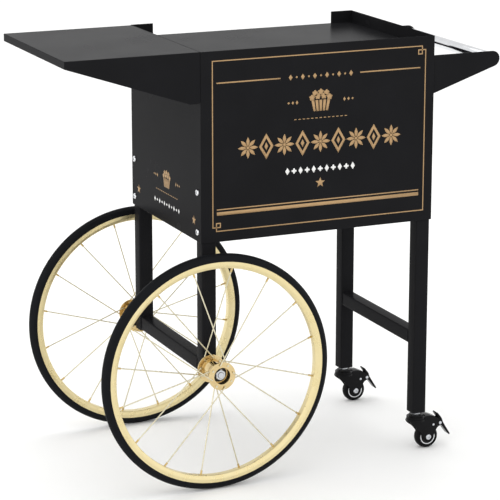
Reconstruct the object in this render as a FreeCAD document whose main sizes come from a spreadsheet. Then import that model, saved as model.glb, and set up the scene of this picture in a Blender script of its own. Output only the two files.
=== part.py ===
import FreeCAD, Part
import math
import os
import re
import Sketcher
from FreeCAD import Placement, Rotation, Vector

# Popcorn cart, millimetres.  +X runs from the side shelf to the push handle, +Y from the printed
# front panel to the doors at the back, +Z up.  The origin is on the floor, under the middle of the
# cart's length and depth.  Wheels and casters touch the floor at z = 0.

SIZES = (
    # cabinet of folded sheet steel
    ("cabinet_left", -193.0, "x of the left side panel's outer face"),
    ("cabinet_right", 317.0, "x of the right side panel's outer face"),
    ("half_depth", 189.0, "y of the rear faces; the front panel is at minus this"),
    ("cabinet_bottom", 498.0, "z of the panels' lower edges"),
    ("cabinet_top", 878.0, "z of the walls' upper edges and of the side shelf"),
    ("gauge", 1.2, "sheet steel thickness"),
    ("front_return", 10.0, "depth of the front panel's returns inside the side panels"),
    ("corner_flange", 50.0, "width of the side panels' flanges at the rear corners"),
    ("lip", 15.0, "width of the folded lips and skirts"),
    ("tray_recess", 25.0, "depth of the machine tray below the walls' upper edges"),
    ("tray_rear_skirt", 21.0, "height of the tray's rear skirt above the doors"),
    # square-tube legs and crossbars
    ("leg_size", 30.0, "side of a leg's square tube"),
    ("leg_wall", 1.5, "wall of the square tubes"),
    ("leg_inset", 2.5, "gap between a leg and the cabinet's outer faces"),
    ("leg_top", 618.0, "z of the legs' upper ends inside the cabinet"),
    ("left_leg_bottom", 227.0, "z of the lower ends of the legs on the wheel axle"),
    ("right_leg_bottom", 82.0, "z of the lower ends of the legs on the casters"),
    ("leg_notch", 33.0, "corner left free in the floor pan for each leg"),
    ("crossbar_size", 28.0, "side of the crossbars' square tube"),
    ("crossbar_middle", 243.0, "z of the crossbars' centre line"),
    ("plug_depth", 25.0, "depth of the plugs in the casters' legs"),
    ("cap_depth", 5.0, "depth of the end caps in the legs on the axle"),
    # fasteners
    ("bolt_radius", 3.0, "leg bolts"),
    ("bolt_clearance", 0.1, "added to a hole's radius"),
    ("bolt_head_radius", 6.5, "button head of a leg bolt"),
    ("bolt_head_height", 3.4, "button head of a leg bolt"),
    ("bolt_length", 40.0, "shank of a leg bolt"),
    ("bolt_nut_circle", 5.8, "circumradius of a leg bolt's hexagon nut"),
    ("bolt_nut_height", 5.0, "leg bolt nut"),
    ("lower_bolt_rise", 20.0, "lower leg bolts above the cabinet's bottom"),
    ("upper_bolt_rise", 100.0, "upper leg bolts above the cabinet's bottom"),
    ("screw_radius", 2.5, "shelf and handle screws"),
    ("screw_head_radius", 4.5, "shelf and handle screws"),
    ("screw_head_height", 2.5, "shelf and handle screws"),
    ("screw_length", 9.0, "shank of the shelf and handle screws"),
    ("screw_nut_circle", 4.6, "circumradius of their hexagon nuts"),
    ("screw_nut_height", 4.0, "height of their hexagon nuts"),
    # side shelf
    ("shelf_length", 276.0, "from the left side panel to the shelf's outer lip"),
    ("shelf_front", -188.0, "y of the shelf's front cheek"),
    ("shelf_back", 182.0, "y of the shelf's back cheek"),
    ("shelf_lip", 15.0, "height of the shelf's outer lip"),
    ("shelf_cheek", 101.0, "height of the cheeks beside the cabinet"),
    ("shelf_foot", 20.0, "length of the cheeks' level stretch beside the cabinet"),
    ("shelf_gap", 1.0, "gap between the shelf's folds and the cabinet"),
    ("shelf_flange", 28.0, "width of the shelf's fixing flanges"),
    ("shelf_flange_low", 780.0, "z of the fixing flanges' lower edges"),
    ("shelf_flange_high", 870.0, "z of the fixing flanges' upper edges"),
    ("shelf_screw_in", 20.0, "shelf screws from the cheeks' outer faces"),
    ("shelf_screw_low", 795.0, "z of the lower shelf screws"),
    ("shelf_screw_high", 825.0, "z of the upper shelf screws"),
    # push handle
    ("handle_reach", 136.0, "from the right side panel to the tube's axis"),
    ("handle_height", 821.0, "z of the tube's axis"),
    ("handle_round", 16.0, "radius of a bracket's rounded end"),
    ("bracket_low", 758.8, "z of a bracket's lower corner on the cabinet"),
    ("bracket_inset", 3.0, "gap between a bracket and the cabinet's front or rear plane"),
    ("bracket_plate", 2.5, "thickness of a bracket"),
    ("bracket_flange", 24.0, "width of a bracket's fixing flange"),
    ("bracket_flange_low", 766.0, "z of the fixing flange's lower edge"),
    ("bracket_flange_high", 830.0, "z of the fixing flange's upper edge"),
    ("bracket_screw_in", 16.0, "handle screws from a bracket's outer face"),
    ("bracket_screw_low", 781.0, "z of the lower handle screws"),
    ("bracket_screw_high", 815.0, "z of the upper handle screws"),
    ("tube_radius", 12.0, "outside of the handle tube"),
    ("tube_wall", 1.5, "wall of the handle tube"),
    ("collar_radius", 14.5, "outside of the collar that holds a tube end"),
    ("collar_depth", 7.0, "length of that collar"),
    # doors
    ("door_gap", 2.0, "gap round and between the doors"),
    ("door_depth", 15.0, "depth of a door's folded edges"),
    ("door_bottom", 516.0, "z of the doors' lower edges"),
    ("door_height", 314.0, "height of a door"),
    ("hinge_stand", 3.0, "hinge axis behind the doors' faces"),
    ("hinge_side", 1.0, "hinge axis from a door's edge"),
    ("knuckle_radius", 2.8, "outside of a hinge knuckle"),
    ("pin_radius", 1.5, "hinge pins"),
    ("running_gap", 0.05, "radial clearance of every turning fit"),
    ("leaf_width", 22.0, "hinge leaf"),
    ("leaf_height", 50.0, "hinge leaf"),
    ("leaf_clear", 3.3, "gap between a leaf and the hinge axis beside the other leaf's knuckle"),
    ("door_knuckle", 16.0, "length of the door leaf's knuckle"),
    ("knuckle_gap", 0.3, "gap between neighbouring knuckles"),
    ("lower_hinge", 555.0, "z of the lower hinges' centres"),
    ("upper_hinge", 790.0, "z of the upper hinges' centres"),
    ("knob_radius", 12.0, "door knob"),
    ("knob_length", 20.0, "door knob"),
    ("knob_neck", 6.0, "radius of the knob's neck"),
    ("knob_height", 720.0, "z of the knobs"),
    ("knob_in", 22.0, "knobs from the doors' meeting edges"),
    ("stud_radius", 2.0, "knob stud"),
    ("stud_length", 8.0, "knob stud inside the door"),
    ("strike_near", 10.0, "a strike plate's near side from its door's free edge"),
    ("strike_far", 42.0, "a strike plate's far side from its door's free edge"),
    ("strike_low", 804.0, "z of the strike plates' lower edges"),
    ("strike_high", 826.0, "z of the strike plates' upper edges"),
    ("magnet_gap", 0.4, "gap between a magnet and its strike plate"),
    ("magnet_depth", 14.0, "depth of a magnet block"),
    ("magnet_near", 14.0, "a magnet's near side from the doors' meeting line"),
    ("magnet_far", 40.0, "a magnet's far side from the doors' meeting line"),
    ("magnet_low", 806.0, "z of the magnets' lower faces"),
    ("magnet_high", 824.0, "z of the magnets' upper faces"),
    ("catch_half", 42.0, "half width of the magnets' hanger"),
    ("catch_gauge", 2.0, "thickness of that hanger"),
    ("catch_foot", 18.0, "length of the hanger's foot under the tray"),
    # spoked wheels: distances across a wheel are from its mid-plane, outboard positive
    ("wheel_radius", 242.0, "over the tyre; the axle's height"),
    ("wheel_offset", 32.0, "wheel mid-plane outside the cabinet's front and rear planes"),
    ("spoke_phase", 13.2, "degrees from +X to the first spoke's rim end"),
    ("tyre_radius", 11.8, "radius of the tyre's round section"),
    ("tyre_seat", 9.2, "half width of the tyre's foot inside the rim"),
    ("tyre_foot", 219.5, "inner radius of the tyre"),
    ("tyre_taper", 3.0, "how much the tyre's foot narrows to its inner edge"),
    ("tyre_slack", 0.5, "side gap between the tyre's foot and the rim's bend"),
    ("tyre_rest", 0.2, "gap between the rim's edges and the tyre's shoulders"),
    ("tyre_crown", 1.0, "half width of the flat that rolls on the floor"),
    ("rim_outer", 229.0, "radius of the rim's edges"),
    ("rim_inner", 213.0, "radius of the rim's floor"),
    ("rim_wall", 1.5, "rim sheet"),
    ("rim_floor", 7.0, "half width of the rim's floor"),
    ("rim_shoulder", 10.5, "half width where the rim's sides turn straight"),
    ("rim_edge", 11.0, "half width of the rim's edges"),
    ("rim_turn", 220.0, "radius where the rim's sides turn straight"),
    ("rim_bend", 0.5, "allowance for the sheet inside the rim's bends"),
    ("nipple_hole", 2.5, "radius of a nipple hole in the rim"),
    ("flange_radius", 28.5, "hub flanges"),
    ("flange_outer", 29.5, "outer face of a hub flange from the mid-plane"),
    ("flange_inner", 26.5, "inner face of a hub flange from the mid-plane"),
    ("dome_radius", 20.5, "step beside a hub flange"),
    ("dome_end", 23.0, "end of that step from the mid-plane"),
    ("barrel_radius", 19.0, "hub barrel"),
    ("hub_bore", 13.0, "hub between its bearings"),
    ("hub_mouth", 17.0, "recess at each end of the hub"),
    ("spoke_circle", 23.0, "radius of the circle of spoke holes in a flange"),
    ("spoke_hole", 1.5, "radius of a spoke hole"),
    ("spoke_radius", 1.25, "spoke wire"),
    ("spoke_lead", 45.0, "degrees between a spoke's ends, seen along the axle"),
    ("spoke_head", 2.2, "radius of a spoke's head"),
    ("spoke_head_height", 1.2, "height of a spoke's head"),
    ("spoke_tail", 0.5, "end of a spoke past the rim's floor"),
    ("elbow_out", 2.8, "elbow of a leading spoke outside its flange"),
    ("elbow_in", 1.6, "elbow of a trailing spoke inside its flange"),
    ("nipple_radius", 2.0, "spoke nipple"),
    ("nipple_start", 9.0, "part of a nipple that stands inside the wheel"),
    ("nipple_length", 12.0, "spoke nipple"),
    ("nipple_head", 3.2, "radius of a nipple's head in the rim"),
    ("nipple_head_height", 2.0, "height of a nipple's head"),
    ("nipple_head_gap", 0.7, "gap between a nipple's head and the rim's sheet"),
    ("bearing_radius", 16.0, "outside of a sealed bearing"),
    ("bearing_width", 10.0, "width of a sealed bearing"),
    ("inner_bearing", -26.0, "inboard face of the inner bearing"),
    ("outer_bearing", 3.0, "inboard face of the outer bearing"),
    ("axle_radius", 6.0, "wheel axle"),
    ("axle_end", 24.5, "axle end outside the wheel's mid-plane"),
    ("spacer_radius", 9.0, "inner spacers"),
    ("sleeve_radius", 8.0, "distance sleeves between the bearings"),
    ("side_gap", 0.2, "gap between a bearing and what is fixed beside it"),
    ("washer_radius", 10.5, "axle washers"),
    ("washer_width", 1.2, "axle washers"),
    ("axle_nut_circle", 11.0, "circumradius of an axle nut"),
    ("axle_nut_height", 8.0, "axle nut"),
    # casters: sizes across a caster are from its middle plane
    ("caster_radius", 25.0, "caster wheel"),
    ("caster_trail", 24.0, "caster wheel's axle behind its swivel axis"),
    ("caster_half", 9.0, "half width of the caster wheel"),
    ("tread_step", 1.5, "how much lower the tread's shoulders are than its crown"),
    ("tread_shoulder", 2.0, "width of the tread's shoulders"),
    ("core_radius", 18.0, "caster wheel core"),
    ("core_ring", 3.0, "width of the ring round the core's dished sides"),
    ("core_boss", 8.0, "radius of the boss in the core's dished sides"),
    ("core_dish", 2.0, "depth of the core's dished sides"),
    ("caster_pin", 4.0, "caster wheel bolt"),
    ("caster_head", 6.0, "head of the caster wheel bolt"),
    ("caster_head_height", 2.6, "head of the caster wheel bolt"),
    ("caster_nut_height", 3.0, "nut of the caster wheel bolt"),
    ("fork_inner", 10.2, "half gap between the yoke's cheeks"),
    ("fork_outer", 12.8, "half width of the yoke"),
    ("yoke_top", 76.0, "z of the yoke's swivel head"),
    ("yoke_floor", 61.0, "z of the underside of the yoke's web"),
    ("swivel_radius", 20.5, "swivel head"),
    ("stem_radius", 5.0, "caster stem"),
    ("stem_top", 104.0, "z of the stem's upper end in the leg plug"),
    ("stem_foot", 8.0, "radius of the stem's lower head"),
    ("stem_drop", 3.0, "stem below the yoke's web"),
    ("stem_collar", 9.5, "circumradius of the hexagon collar under the leg"),
    ("collar_gap", 1.0, "gap between that collar and the swivel head"),
    ("pedal_x", 51.4, "pedal pivot from the swivel axis"),
    ("pedal_z", 53.0, "z of the pedal pivot"),
    ("pedal_pin", 2.0, "pedal pin"),
    ("pedal_pin_head", 3.3, "radius of the pedal pin's flat heads"),
    ("pedal_pin_head_height", 1.0, "height of the pedal pin's flat heads"),
    ("pedal_half", 9.0, "half width of the brake pedal"),
)

ALIASES = {alias for alias, _, _ in SIZES}

doc = FreeCAD.newDocument("popcorn_cart")
sheet = doc.addObject("Spreadsheet::Sheet", "Sizes")
for row, (alias, size, meaning) in enumerate(SIZES, start=1):
    sheet.set(f"A{row}", meaning)
    sheet.set(f"B{row}", str(size))
    sheet.setAlias(f"B{row}", alias)
doc.recompute()

FRONT, REAR = -1, 1
LEFT, RIGHT = -1, 1
SPOKES = 16
nodes = []
PAST = 1    # how far a drill runs past the faces that it cuts


# ---- sheet and naming helpers -------------------------------------------------------------------

def bound(text):
    """The same expression with every alias pointing at the sheet."""
    return re.sub(r"[a-z_]+", lambda word: f"Sizes.{word[0]}" if word[0] in ALIASES else word[0], str(text))


def value(text):
    """The number that an expression has now."""
    return float(sheet.evalExpression(bound(text)))


def node(thing, name):
    """Name a finished piece: its label is the name of its file."""
    thing.Label = name
    nodes.append(thing)
    return thing


def fresh(kind, name):
    return doc.addObject(kind, name)


TURNS = {
    "X": Rotation(Vector(0, 1, 0), 90),
    "Y": Rotation(Vector(1, 0, 0), -90),
    "Z": Rotation(),
}


def put(thing, x=0, y=0, z=0, along="Z"):
    """Place a thing's own origin at x, y, z with its own Z turned to the named axis."""
    thing.Placement = Placement(Vector(), TURNS[along])
    for letter, text in zip("xyz", (x, y, z)):
        thing.setExpression(f"Placement.Base.{letter}", bound(text))
    return thing


# ---- primitives and booleans ---------------------------------------------------------------------

def box(low, high):
    """A block between two corners, each given as three expressions."""
    block = fresh("Part::Box", "Block")
    for side, start, end in zip(("Length", "Width", "Height"), low, high):
        block.setExpression(side, bound(f"({end}) - ({start})"))
    return put(block, *low)


def rod(radius, start, length, along):
    """A round bar from a start point, pointing to +X, +Y or +Z."""
    bar = fresh("Part::Cylinder", "Bar")
    bar.setExpression("Radius", bound(radius))
    bar.setExpression("Height", bound(length))
    return put(bar, *start, along)


def hexagon(circumradius, start, length, along):
    prism = fresh("Part::Prism", "Hexagon")
    prism.Polygon = 6
    prism.setExpression("Circumradius", bound(circumradius))
    prism.setExpression("Height", bound(length))
    return put(prism, *start, along)


def cut(base, *tools):
    for tool in tools:
        result = fresh("Part::Cut", "Cut")
        result.Base = base
        result.Tool = tool
        base = result
    return base


def fuse(*things):
    result = fresh("Part::MultiFuse", "Fusion")
    result.Shapes = list(things)
    result.Refine = True
    return result


def group(*things):
    result = fresh("Part::Compound", "Group")
    result.Links = list(things)
    return result


def tube(outer, inner, start, length, along):
    return cut(rod(outer, start, length, along), rod(inner, start, length, along))


def ring_nut(circumradius, bore, start, length, along):
    return cut(hexagon(circumradius, start, length, along), rod(bore, start, length, along))


# ---- sketched bodies -----------------------------------------------------------------------------

def new_body(name):
    return doc.addObject("PartDesign::Body", name)


def sketch_on(body, name, plane):
    drawing = body.newObject("Sketcher::SketchObject", name)
    origin_plane = next(item for item in body.Origin.OriginFeatures if item.Role == plane)
    drawing.AttachmentSupport = [(origin_plane, "")]
    drawing.MapMode = "FlatFace"
    return drawing


def pin_point(drawing, shape, end, x, y):
    """Hold one point of a sketch at two expressions, measured from the sketch's origin."""
    for kind, text in (("DistanceX", x), ("DistanceY", y)):
        index = drawing.addConstraint(Sketcher.Constraint(kind, -1, 1, shape, end, value(text)))
        drawing.setExpression(f"Constraints[{index}]", bound(text))


def draw_outline(drawing, corners):
    """A closed outline of straight edges through corners, each held by two expressions."""
    points = [Vector(value(x), value(y), 0) for x, y in corners]
    first = drawing.GeometryCount
    for start, end in zip(points, points[1:] + points[:1]):
        drawing.addGeometry(Part.LineSegment(start, end), False)
    for step, (x, y) in enumerate(corners):
        before = first + (step - 1) % len(corners)
        drawing.addConstraint(Sketcher.Constraint("Coincident", before, 2, first + step, 1))
        pin_point(drawing, first + step, 1, x, y)


def draw_circle(drawing, x, y, radius):
    centre = Vector(value(x), value(y), 0)
    index = drawing.addGeometry(Part.Circle(centre, Vector(0, 0, 1), value(radius)), False)
    pin_point(drawing, index, 3, x, y)
    size = drawing.addConstraint(Sketcher.Constraint("Radius", index, value(radius)))
    drawing.setExpression(f"Constraints[{size}]", bound(radius))


def pad(body, drawing, length, both_ways=False):
    solid = body.newObject("PartDesign::Pad", "Pad")
    solid.Profile = drawing
    solid.setExpression("Length", bound(length))
    solid.SideType = "Symmetric" if both_ways else "One side"
    drawing.Visibility = False
    return solid


def pocket(body, drawing, reverse=False, both_ways=False):
    """Cut a drawing through everything on one side of its plane, or on both."""
    hole = body.newObject("PartDesign::Pocket", "Pocket")
    hole.Profile = drawing
    hole.Type = "ThroughAll"
    hole.SideType = "Symmetric" if both_ways else "One side"
    hole.Reversed = reverse
    return hole


def revolve(body, drawing):
    """Turn a drawing of radius against distance about the body's own Y axis."""
    solid = body.newObject("PartDesign::Revolution", "Revolution")
    solid.Profile = drawing
    solid.ReferenceAxis = (drawing, ["V_Axis"])
    solid.Angle = 360
    return solid


def ring_pattern(body, feature, count):
    """Repeat a feature round the body's own Y axis."""
    pattern = body.newObject("PartDesign::PolarPattern", "Pattern")
    pattern.Originals = [feature]
    pattern.Axis = (next(item for item in body.Origin.OriginFeatures if item.Role == "Y_Axis"), [""])
    pattern.Angle = 360
    pattern.Occurrences = count
    body.Tip = pattern
    return pattern


# ---- cabinet -------------------------------------------------------------------------------------

def leg_bolt_places():
    """y and z of the bolts that hold the legs to one side panel."""
    for side in (FRONT, REAR):
        for rise in ("lower_bolt_rise", "upper_bolt_rise"):
            yield f"{side} * (half_depth - leg_inset - leg_size / 2)", f"cabinet_bottom + {rise}"


def shelf_screw_places():
    for y in ("shelf_front + shelf_screw_in", "shelf_back - shelf_screw_in"):
        for z in ("shelf_screw_low", "shelf_screw_high"):
            yield y, z


def bracket_screw_places():
    for side in (FRONT, REAR):
        for z in ("bracket_screw_low", "bracket_screw_high"):
            yield f"{side} * (half_depth - bracket_inset - bracket_screw_in)", z


def front_panel():
    """Flat face with returns that tuck inside the side panels, and a lip under the floor pan."""
    body = new_body("FrontPanel")
    section = sketch_on(body, "FrontSection", "XY_Plane")
    face, back = "-half_depth", "-half_depth + gauge"
    inside = "-half_depth + gauge + front_return"
    draw_outline(section, [
        ("cabinet_left", face),
        ("cabinet_right", face),
        ("cabinet_right", back),
        ("cabinet_right - gauge", back),
        ("cabinet_right - gauge", inside),
        ("cabinet_right - 2 * gauge", inside),
        ("cabinet_right - 2 * gauge", back),
        ("cabinet_left + 2 * gauge", back),
        ("cabinet_left + 2 * gauge", inside),
        ("cabinet_left + gauge", inside),
        ("cabinet_left + gauge", back),
        ("cabinet_left", back),
    ])
    section.setExpression("AttachmentOffset.Base.z", bound("cabinet_bottom"))
    pad(body, section, "cabinet_top - cabinet_bottom")
    lip = sketch_on(body, "FrontLip", "XY_Plane")
    draw_outline(lip, [
        ("cabinet_left + leg_notch", back),
        ("cabinet_right - leg_notch", back),
        ("cabinet_right - leg_notch", f"{back} + lip"),
        ("cabinet_left + leg_notch", f"{back} + lip"),
    ])
    lip.setExpression("AttachmentOffset.Base.z", bound("cabinet_bottom"))
    pad(body, lip, "gauge")
    node(body, "front_panel")


def side_panel(name, side, edge, screw_places):
    """Side face with a flange round the rear corner, a lip under the floor pan and fixing holes."""
    body = new_body(name)
    section = sketch_on(body, name + "Section", "XY_Plane")
    inner = f"{edge} - {side} * gauge"
    flange_end = f"{edge} - {side} * corner_flange"
    draw_outline(section, [
        (edge, "-half_depth + gauge"),
        (edge, "half_depth"),
        (flange_end, "half_depth"),
        (flange_end, "half_depth - gauge"),
        (inner, "half_depth - gauge"),
        (inner, "-half_depth + gauge"),
    ])
    section.setExpression("AttachmentOffset.Base.z", bound("cabinet_bottom"))
    pad(body, section, "cabinet_top - cabinet_bottom")
    lip = sketch_on(body, name + "Lip", "XY_Plane")
    draw_outline(lip, [
        (inner, "-half_depth + leg_notch"),
        (inner, "half_depth - leg_notch"),
        (f"{inner} - {side} * lip", "half_depth - leg_notch"),
        (f"{inner} - {side} * lip", "-half_depth + leg_notch"),
    ])
    lip.setExpression("AttachmentOffset.Base.z", bound("cabinet_bottom"))
    pad(body, lip, "gauge")
    holes = sketch_on(body, name + "Holes", "YZ_Plane")
    for y, z in leg_bolt_places():
        draw_circle(holes, y, z, "bolt_radius + bolt_clearance")
    for y, z in screw_places:
        draw_circle(holes, y, z, "screw_radius + bolt_clearance")
    pocket(body, holes, both_ways=True)
    return body


def tray_top():
    """Sunk tray for the machine: a plate with skirts folded down, and a tongue to the open back."""
    top = "cabinet_top - tray_recess"
    left, right = "cabinet_left + 2 * gauge", "cabinet_right - 2 * gauge"
    front, back = "-half_depth + gauge", "half_depth - gauge"
    under = f"{top} - gauge"
    skirt = f"{top} - lip"
    rear_left = "cabinet_left + corner_flange + door_gap"
    rear_right = "cabinet_right - corner_flange - door_gap"
    tray = fuse(
        box((left, front, under), (right, back, top)),
        box((rear_left, back, under), (rear_right, "half_depth", top)),
        box((left, front, skirt), (right, f"{front} + gauge", under)),
        box((left, front, skirt), (f"{left} + gauge", back, under)),
        box((f"{right} - gauge", front, skirt), (right, back, under)),
        box((rear_left, back, f"{top} - tray_rear_skirt"), (rear_right, "half_depth", under)),
    )
    node(tray, "tray_top")


def floor_pan():
    """Cabinet floor on the panels' lips, cut away at the legs, with a lip up under the doors."""
    body = new_body("FloorPan")
    outline = sketch_on(body, "FloorOutline", "XY_Plane")
    left, right = "cabinet_left + gauge", "cabinet_right - gauge"
    near, far = "-half_depth + gauge", "half_depth - gauge"
    leg_left, leg_right = "cabinet_left + leg_notch", "cabinet_right - leg_notch"
    leg_near, leg_far = "-half_depth + leg_notch", "half_depth - leg_notch"
    draw_outline(outline, [
        (leg_left, near), (leg_right, near), (leg_right, leg_near), (right, leg_near),
        (right, leg_far), (leg_right, leg_far), (leg_right, far), (leg_left, far),
        (leg_left, leg_far), (left, leg_far), (left, leg_near), (leg_left, leg_near),
    ])
    outline.setExpression("AttachmentOffset.Base.z", bound("cabinet_bottom + gauge"))
    pad(body, outline, "gauge")
    lip = sketch_on(body, "FloorLip", "XY_Plane")
    draw_outline(lip, [
        ("cabinet_left + corner_flange + door_gap", far),
        ("cabinet_right - corner_flange - door_gap", far),
        ("cabinet_right - corner_flange - door_gap", "half_depth"),
        ("cabinet_left + corner_flange + door_gap", "half_depth"),
    ])
    lip.setExpression("AttachmentOffset.Base.z", bound("cabinet_bottom + gauge"))
    pad(body, lip, "door_bottom - door_gap - cabinet_bottom - gauge")
    node(body, "floor_pan")


# ---- legs and crossbars --------------------------------------------------------------------------

LEFT_LEG_X = "cabinet_left + leg_inset + leg_size / 2"
RIGHT_LEG_X = "cabinet_right - leg_inset - leg_size / 2"
AXLE_HEIGHT = "wheel_radius"


def leg_y(side):
    return f"{side} * (half_depth - leg_inset - leg_size / 2)"


def square_tube_section(drawing, x, y, size):
    """Outer and inner squares of a square tube."""
    for half in (f"{size} / 2", f"({size} / 2 - leg_wall)"):
        draw_outline(drawing, [
            (f"{x} - {half}", f"{y} - {half}"), (f"{x} + {half}", f"{y} - {half}"),
            (f"{x} + {half}", f"{y} + {half}"), (f"{x} - {half}", f"{y} + {half}"),
        ])


def leg(name, x, side, bottom, has_axle):
    """Square tube with cross holes for its two bolts and, beside a wheel, for the axle."""
    body = new_body(name.title().replace("_", ""))
    section = sketch_on(body, body.Name + "Section", "XY_Plane")
    square_tube_section(section, x, leg_y(side), "leg_size")
    section.setExpression("AttachmentOffset.Base.z", bound(bottom))
    pad(body, section, f"leg_top - {bottom}")
    holes = sketch_on(body, body.Name + "BoltHoles", "YZ_Plane")
    for rise in ("lower_bolt_rise", "upper_bolt_rise"):
        draw_circle(holes, leg_y(side), f"cabinet_bottom + {rise}", "bolt_radius + bolt_clearance")
    pocket(body, holes, both_ways=True)
    if has_axle:
        axle_hole = sketch_on(body, body.Name + "AxleHole", "XZ_Plane")
        draw_circle(axle_hole, x, AXLE_HEIGHT, "axle_radius + running_gap")
        pocket(body, axle_hole, both_ways=True)
    node(body, name)


def crossbar(name, x):
    """Square tube between the front and rear legs of one end."""
    body = new_body(name.title().replace("_", ""))
    section = sketch_on(body, body.Name + "Section", "XZ_Plane")
    square_tube_section(section, x, "crossbar_middle", "crossbar_size")
    pad(body, section, "2 * (half_depth - leg_inset - leg_size)", both_ways=True)
    node(body, name)


def leg_end_plugs():
    """Blocks in the lower ends: those over the casters are bored for the stems."""
    half = "(leg_size / 2 - leg_wall)"
    plugs = []
    for side in (FRONT, REAR):
        y = leg_y(side)
        low = (f"{RIGHT_LEG_X} - {half}", f"{y} - {half}", "right_leg_bottom")
        high = (f"{RIGHT_LEG_X} + {half}", f"{y} + {half}", "right_leg_bottom + plug_depth")
        bore = rod("stem_radius + running_gap", (RIGHT_LEG_X, y, "right_leg_bottom"), "plug_depth", "Z")
        plugs.append(cut(box(low, high), bore))
        low = (f"{LEFT_LEG_X} - {half}", f"{y} - {half}", "left_leg_bottom")
        high = (f"{LEFT_LEG_X} + {half}", f"{y} + {half}", "left_leg_bottom + cap_depth")
        plugs.append(box(low, high))
    node(group(*plugs), "leg_end_plugs")


def leg_bolts():
    """Button-head bolts through each side panel and leg, with nuts on the legs' inner faces."""
    bolts, nuts = [], []
    for y, z in leg_bolt_places():
        left_face, right_face = "cabinet_left", "cabinet_right"
        bolts.append(fuse(
            rod("bolt_head_radius", (f"{left_face} - bolt_head_height", y, z), "bolt_head_height", "X"),
            rod("bolt_radius", (left_face, y, z), "bolt_length", "X")))
        bolts.append(fuse(
            rod("bolt_head_radius", (right_face, y, z), "bolt_head_height", "X"),
            rod("bolt_radius", (f"{right_face} - bolt_length", y, z), "bolt_length", "X")))
        for start in ("cabinet_left + leg_inset + leg_size",
                      "cabinet_right - leg_inset - leg_size - bolt_nut_height"):
            nuts.append(ring_nut("bolt_nut_circle", "bolt_radius", (start, y, z), "bolt_nut_height", "X"))
    node(group(*bolts), "leg_bolts")
    node(group(*nuts), "leg_nuts")


# ---- side shelf ----------------------------------------------------------------------------------

def side_shelf():
    """Folded shelf: top, outer lip, two tapered cheeks and two fixing flanges on the cabinet."""
    body = new_body("SideShelf")
    outer = "cabinet_left - shelf_length"
    inner = "cabinet_left - shelf_gap"
    cheek = [
        (outer, "cabinet_top"), (inner, "cabinet_top"), (inner, "cabinet_top - shelf_cheek"),
        (f"{inner} - shelf_foot", "cabinet_top - shelf_cheek"), (outer, "cabinet_top - shelf_lip"),
    ]
    for name, depth in (("FrontCheek", "-shelf_front"), ("BackCheek", "-shelf_back + gauge")):
        side = sketch_on(body, name, "XZ_Plane")
        draw_outline(side, cheek)
        side.setExpression("AttachmentOffset.Base.z", bound(f"{depth} - gauge"))
        pad(body, side, "gauge")
        if name == "FrontCheek":
            top = sketch_on(body, "ShelfTop", "XY_Plane")
            draw_outline(top, [
                (outer, "shelf_front"), (inner, "shelf_front"), (inner, "shelf_back"), (outer, "shelf_back"),
            ])
            top.setExpression("AttachmentOffset.Base.z", bound("cabinet_top - gauge"))
            pad(body, top, "gauge")
    lip = sketch_on(body, "OuterLip", "XY_Plane")
    draw_outline(lip, [
        (outer, "shelf_front"), (f"{outer} + gauge", "shelf_front"),
        (f"{outer} + gauge", "shelf_back"), (outer, "shelf_back"),
    ])
    lip.setExpression("AttachmentOffset.Base.z", bound("cabinet_top - shelf_lip"))
    pad(body, lip, "shelf_lip")
    flanges = sketch_on(body, "FixingFlanges", "YZ_Plane")
    for start, end in (("shelf_front", "shelf_front + shelf_flange"),
                       ("shelf_back - shelf_flange", "shelf_back")):
        draw_outline(flanges, [
            (start, "shelf_flange_low"), (end, "shelf_flange_low"),
            (end, "shelf_flange_high"), (start, "shelf_flange_high"),
        ])
    flanges.setExpression("AttachmentOffset.Base.z", bound("cabinet_left - shelf_gap - gauge"))
    pad(body, flanges, "gauge + shelf_gap")
    holes = sketch_on(body, "ShelfHoles", "YZ_Plane")
    for y, z in shelf_screw_places():
        draw_circle(holes, y, z, "screw_radius + bolt_clearance")
    holes.setExpression("AttachmentOffset.Base.z", bound("cabinet_left - shelf_flange"))
    pocket(body, holes, reverse=True)
    node(body, "side_shelf")


def screw_group(name, places, head_x, shank_x, nut_x):
    """Pan-head screws with a nut inside the cabinet, all along X."""
    pieces = []
    for y, z in places:
        pieces.append(fuse(
            rod("screw_head_radius", (head_x, y, z), "screw_head_height", "X"),
            rod("screw_radius", (shank_x, y, z), "screw_length", "X")))
        pieces.append(ring_nut("screw_nut_circle", "screw_radius", (nut_x, y, z), "screw_nut_height", "X"))
    node(group(*pieces), name)


# ---- push handle ---------------------------------------------------------------------------------

TUBE_X = "cabinet_right + handle_reach"


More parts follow.
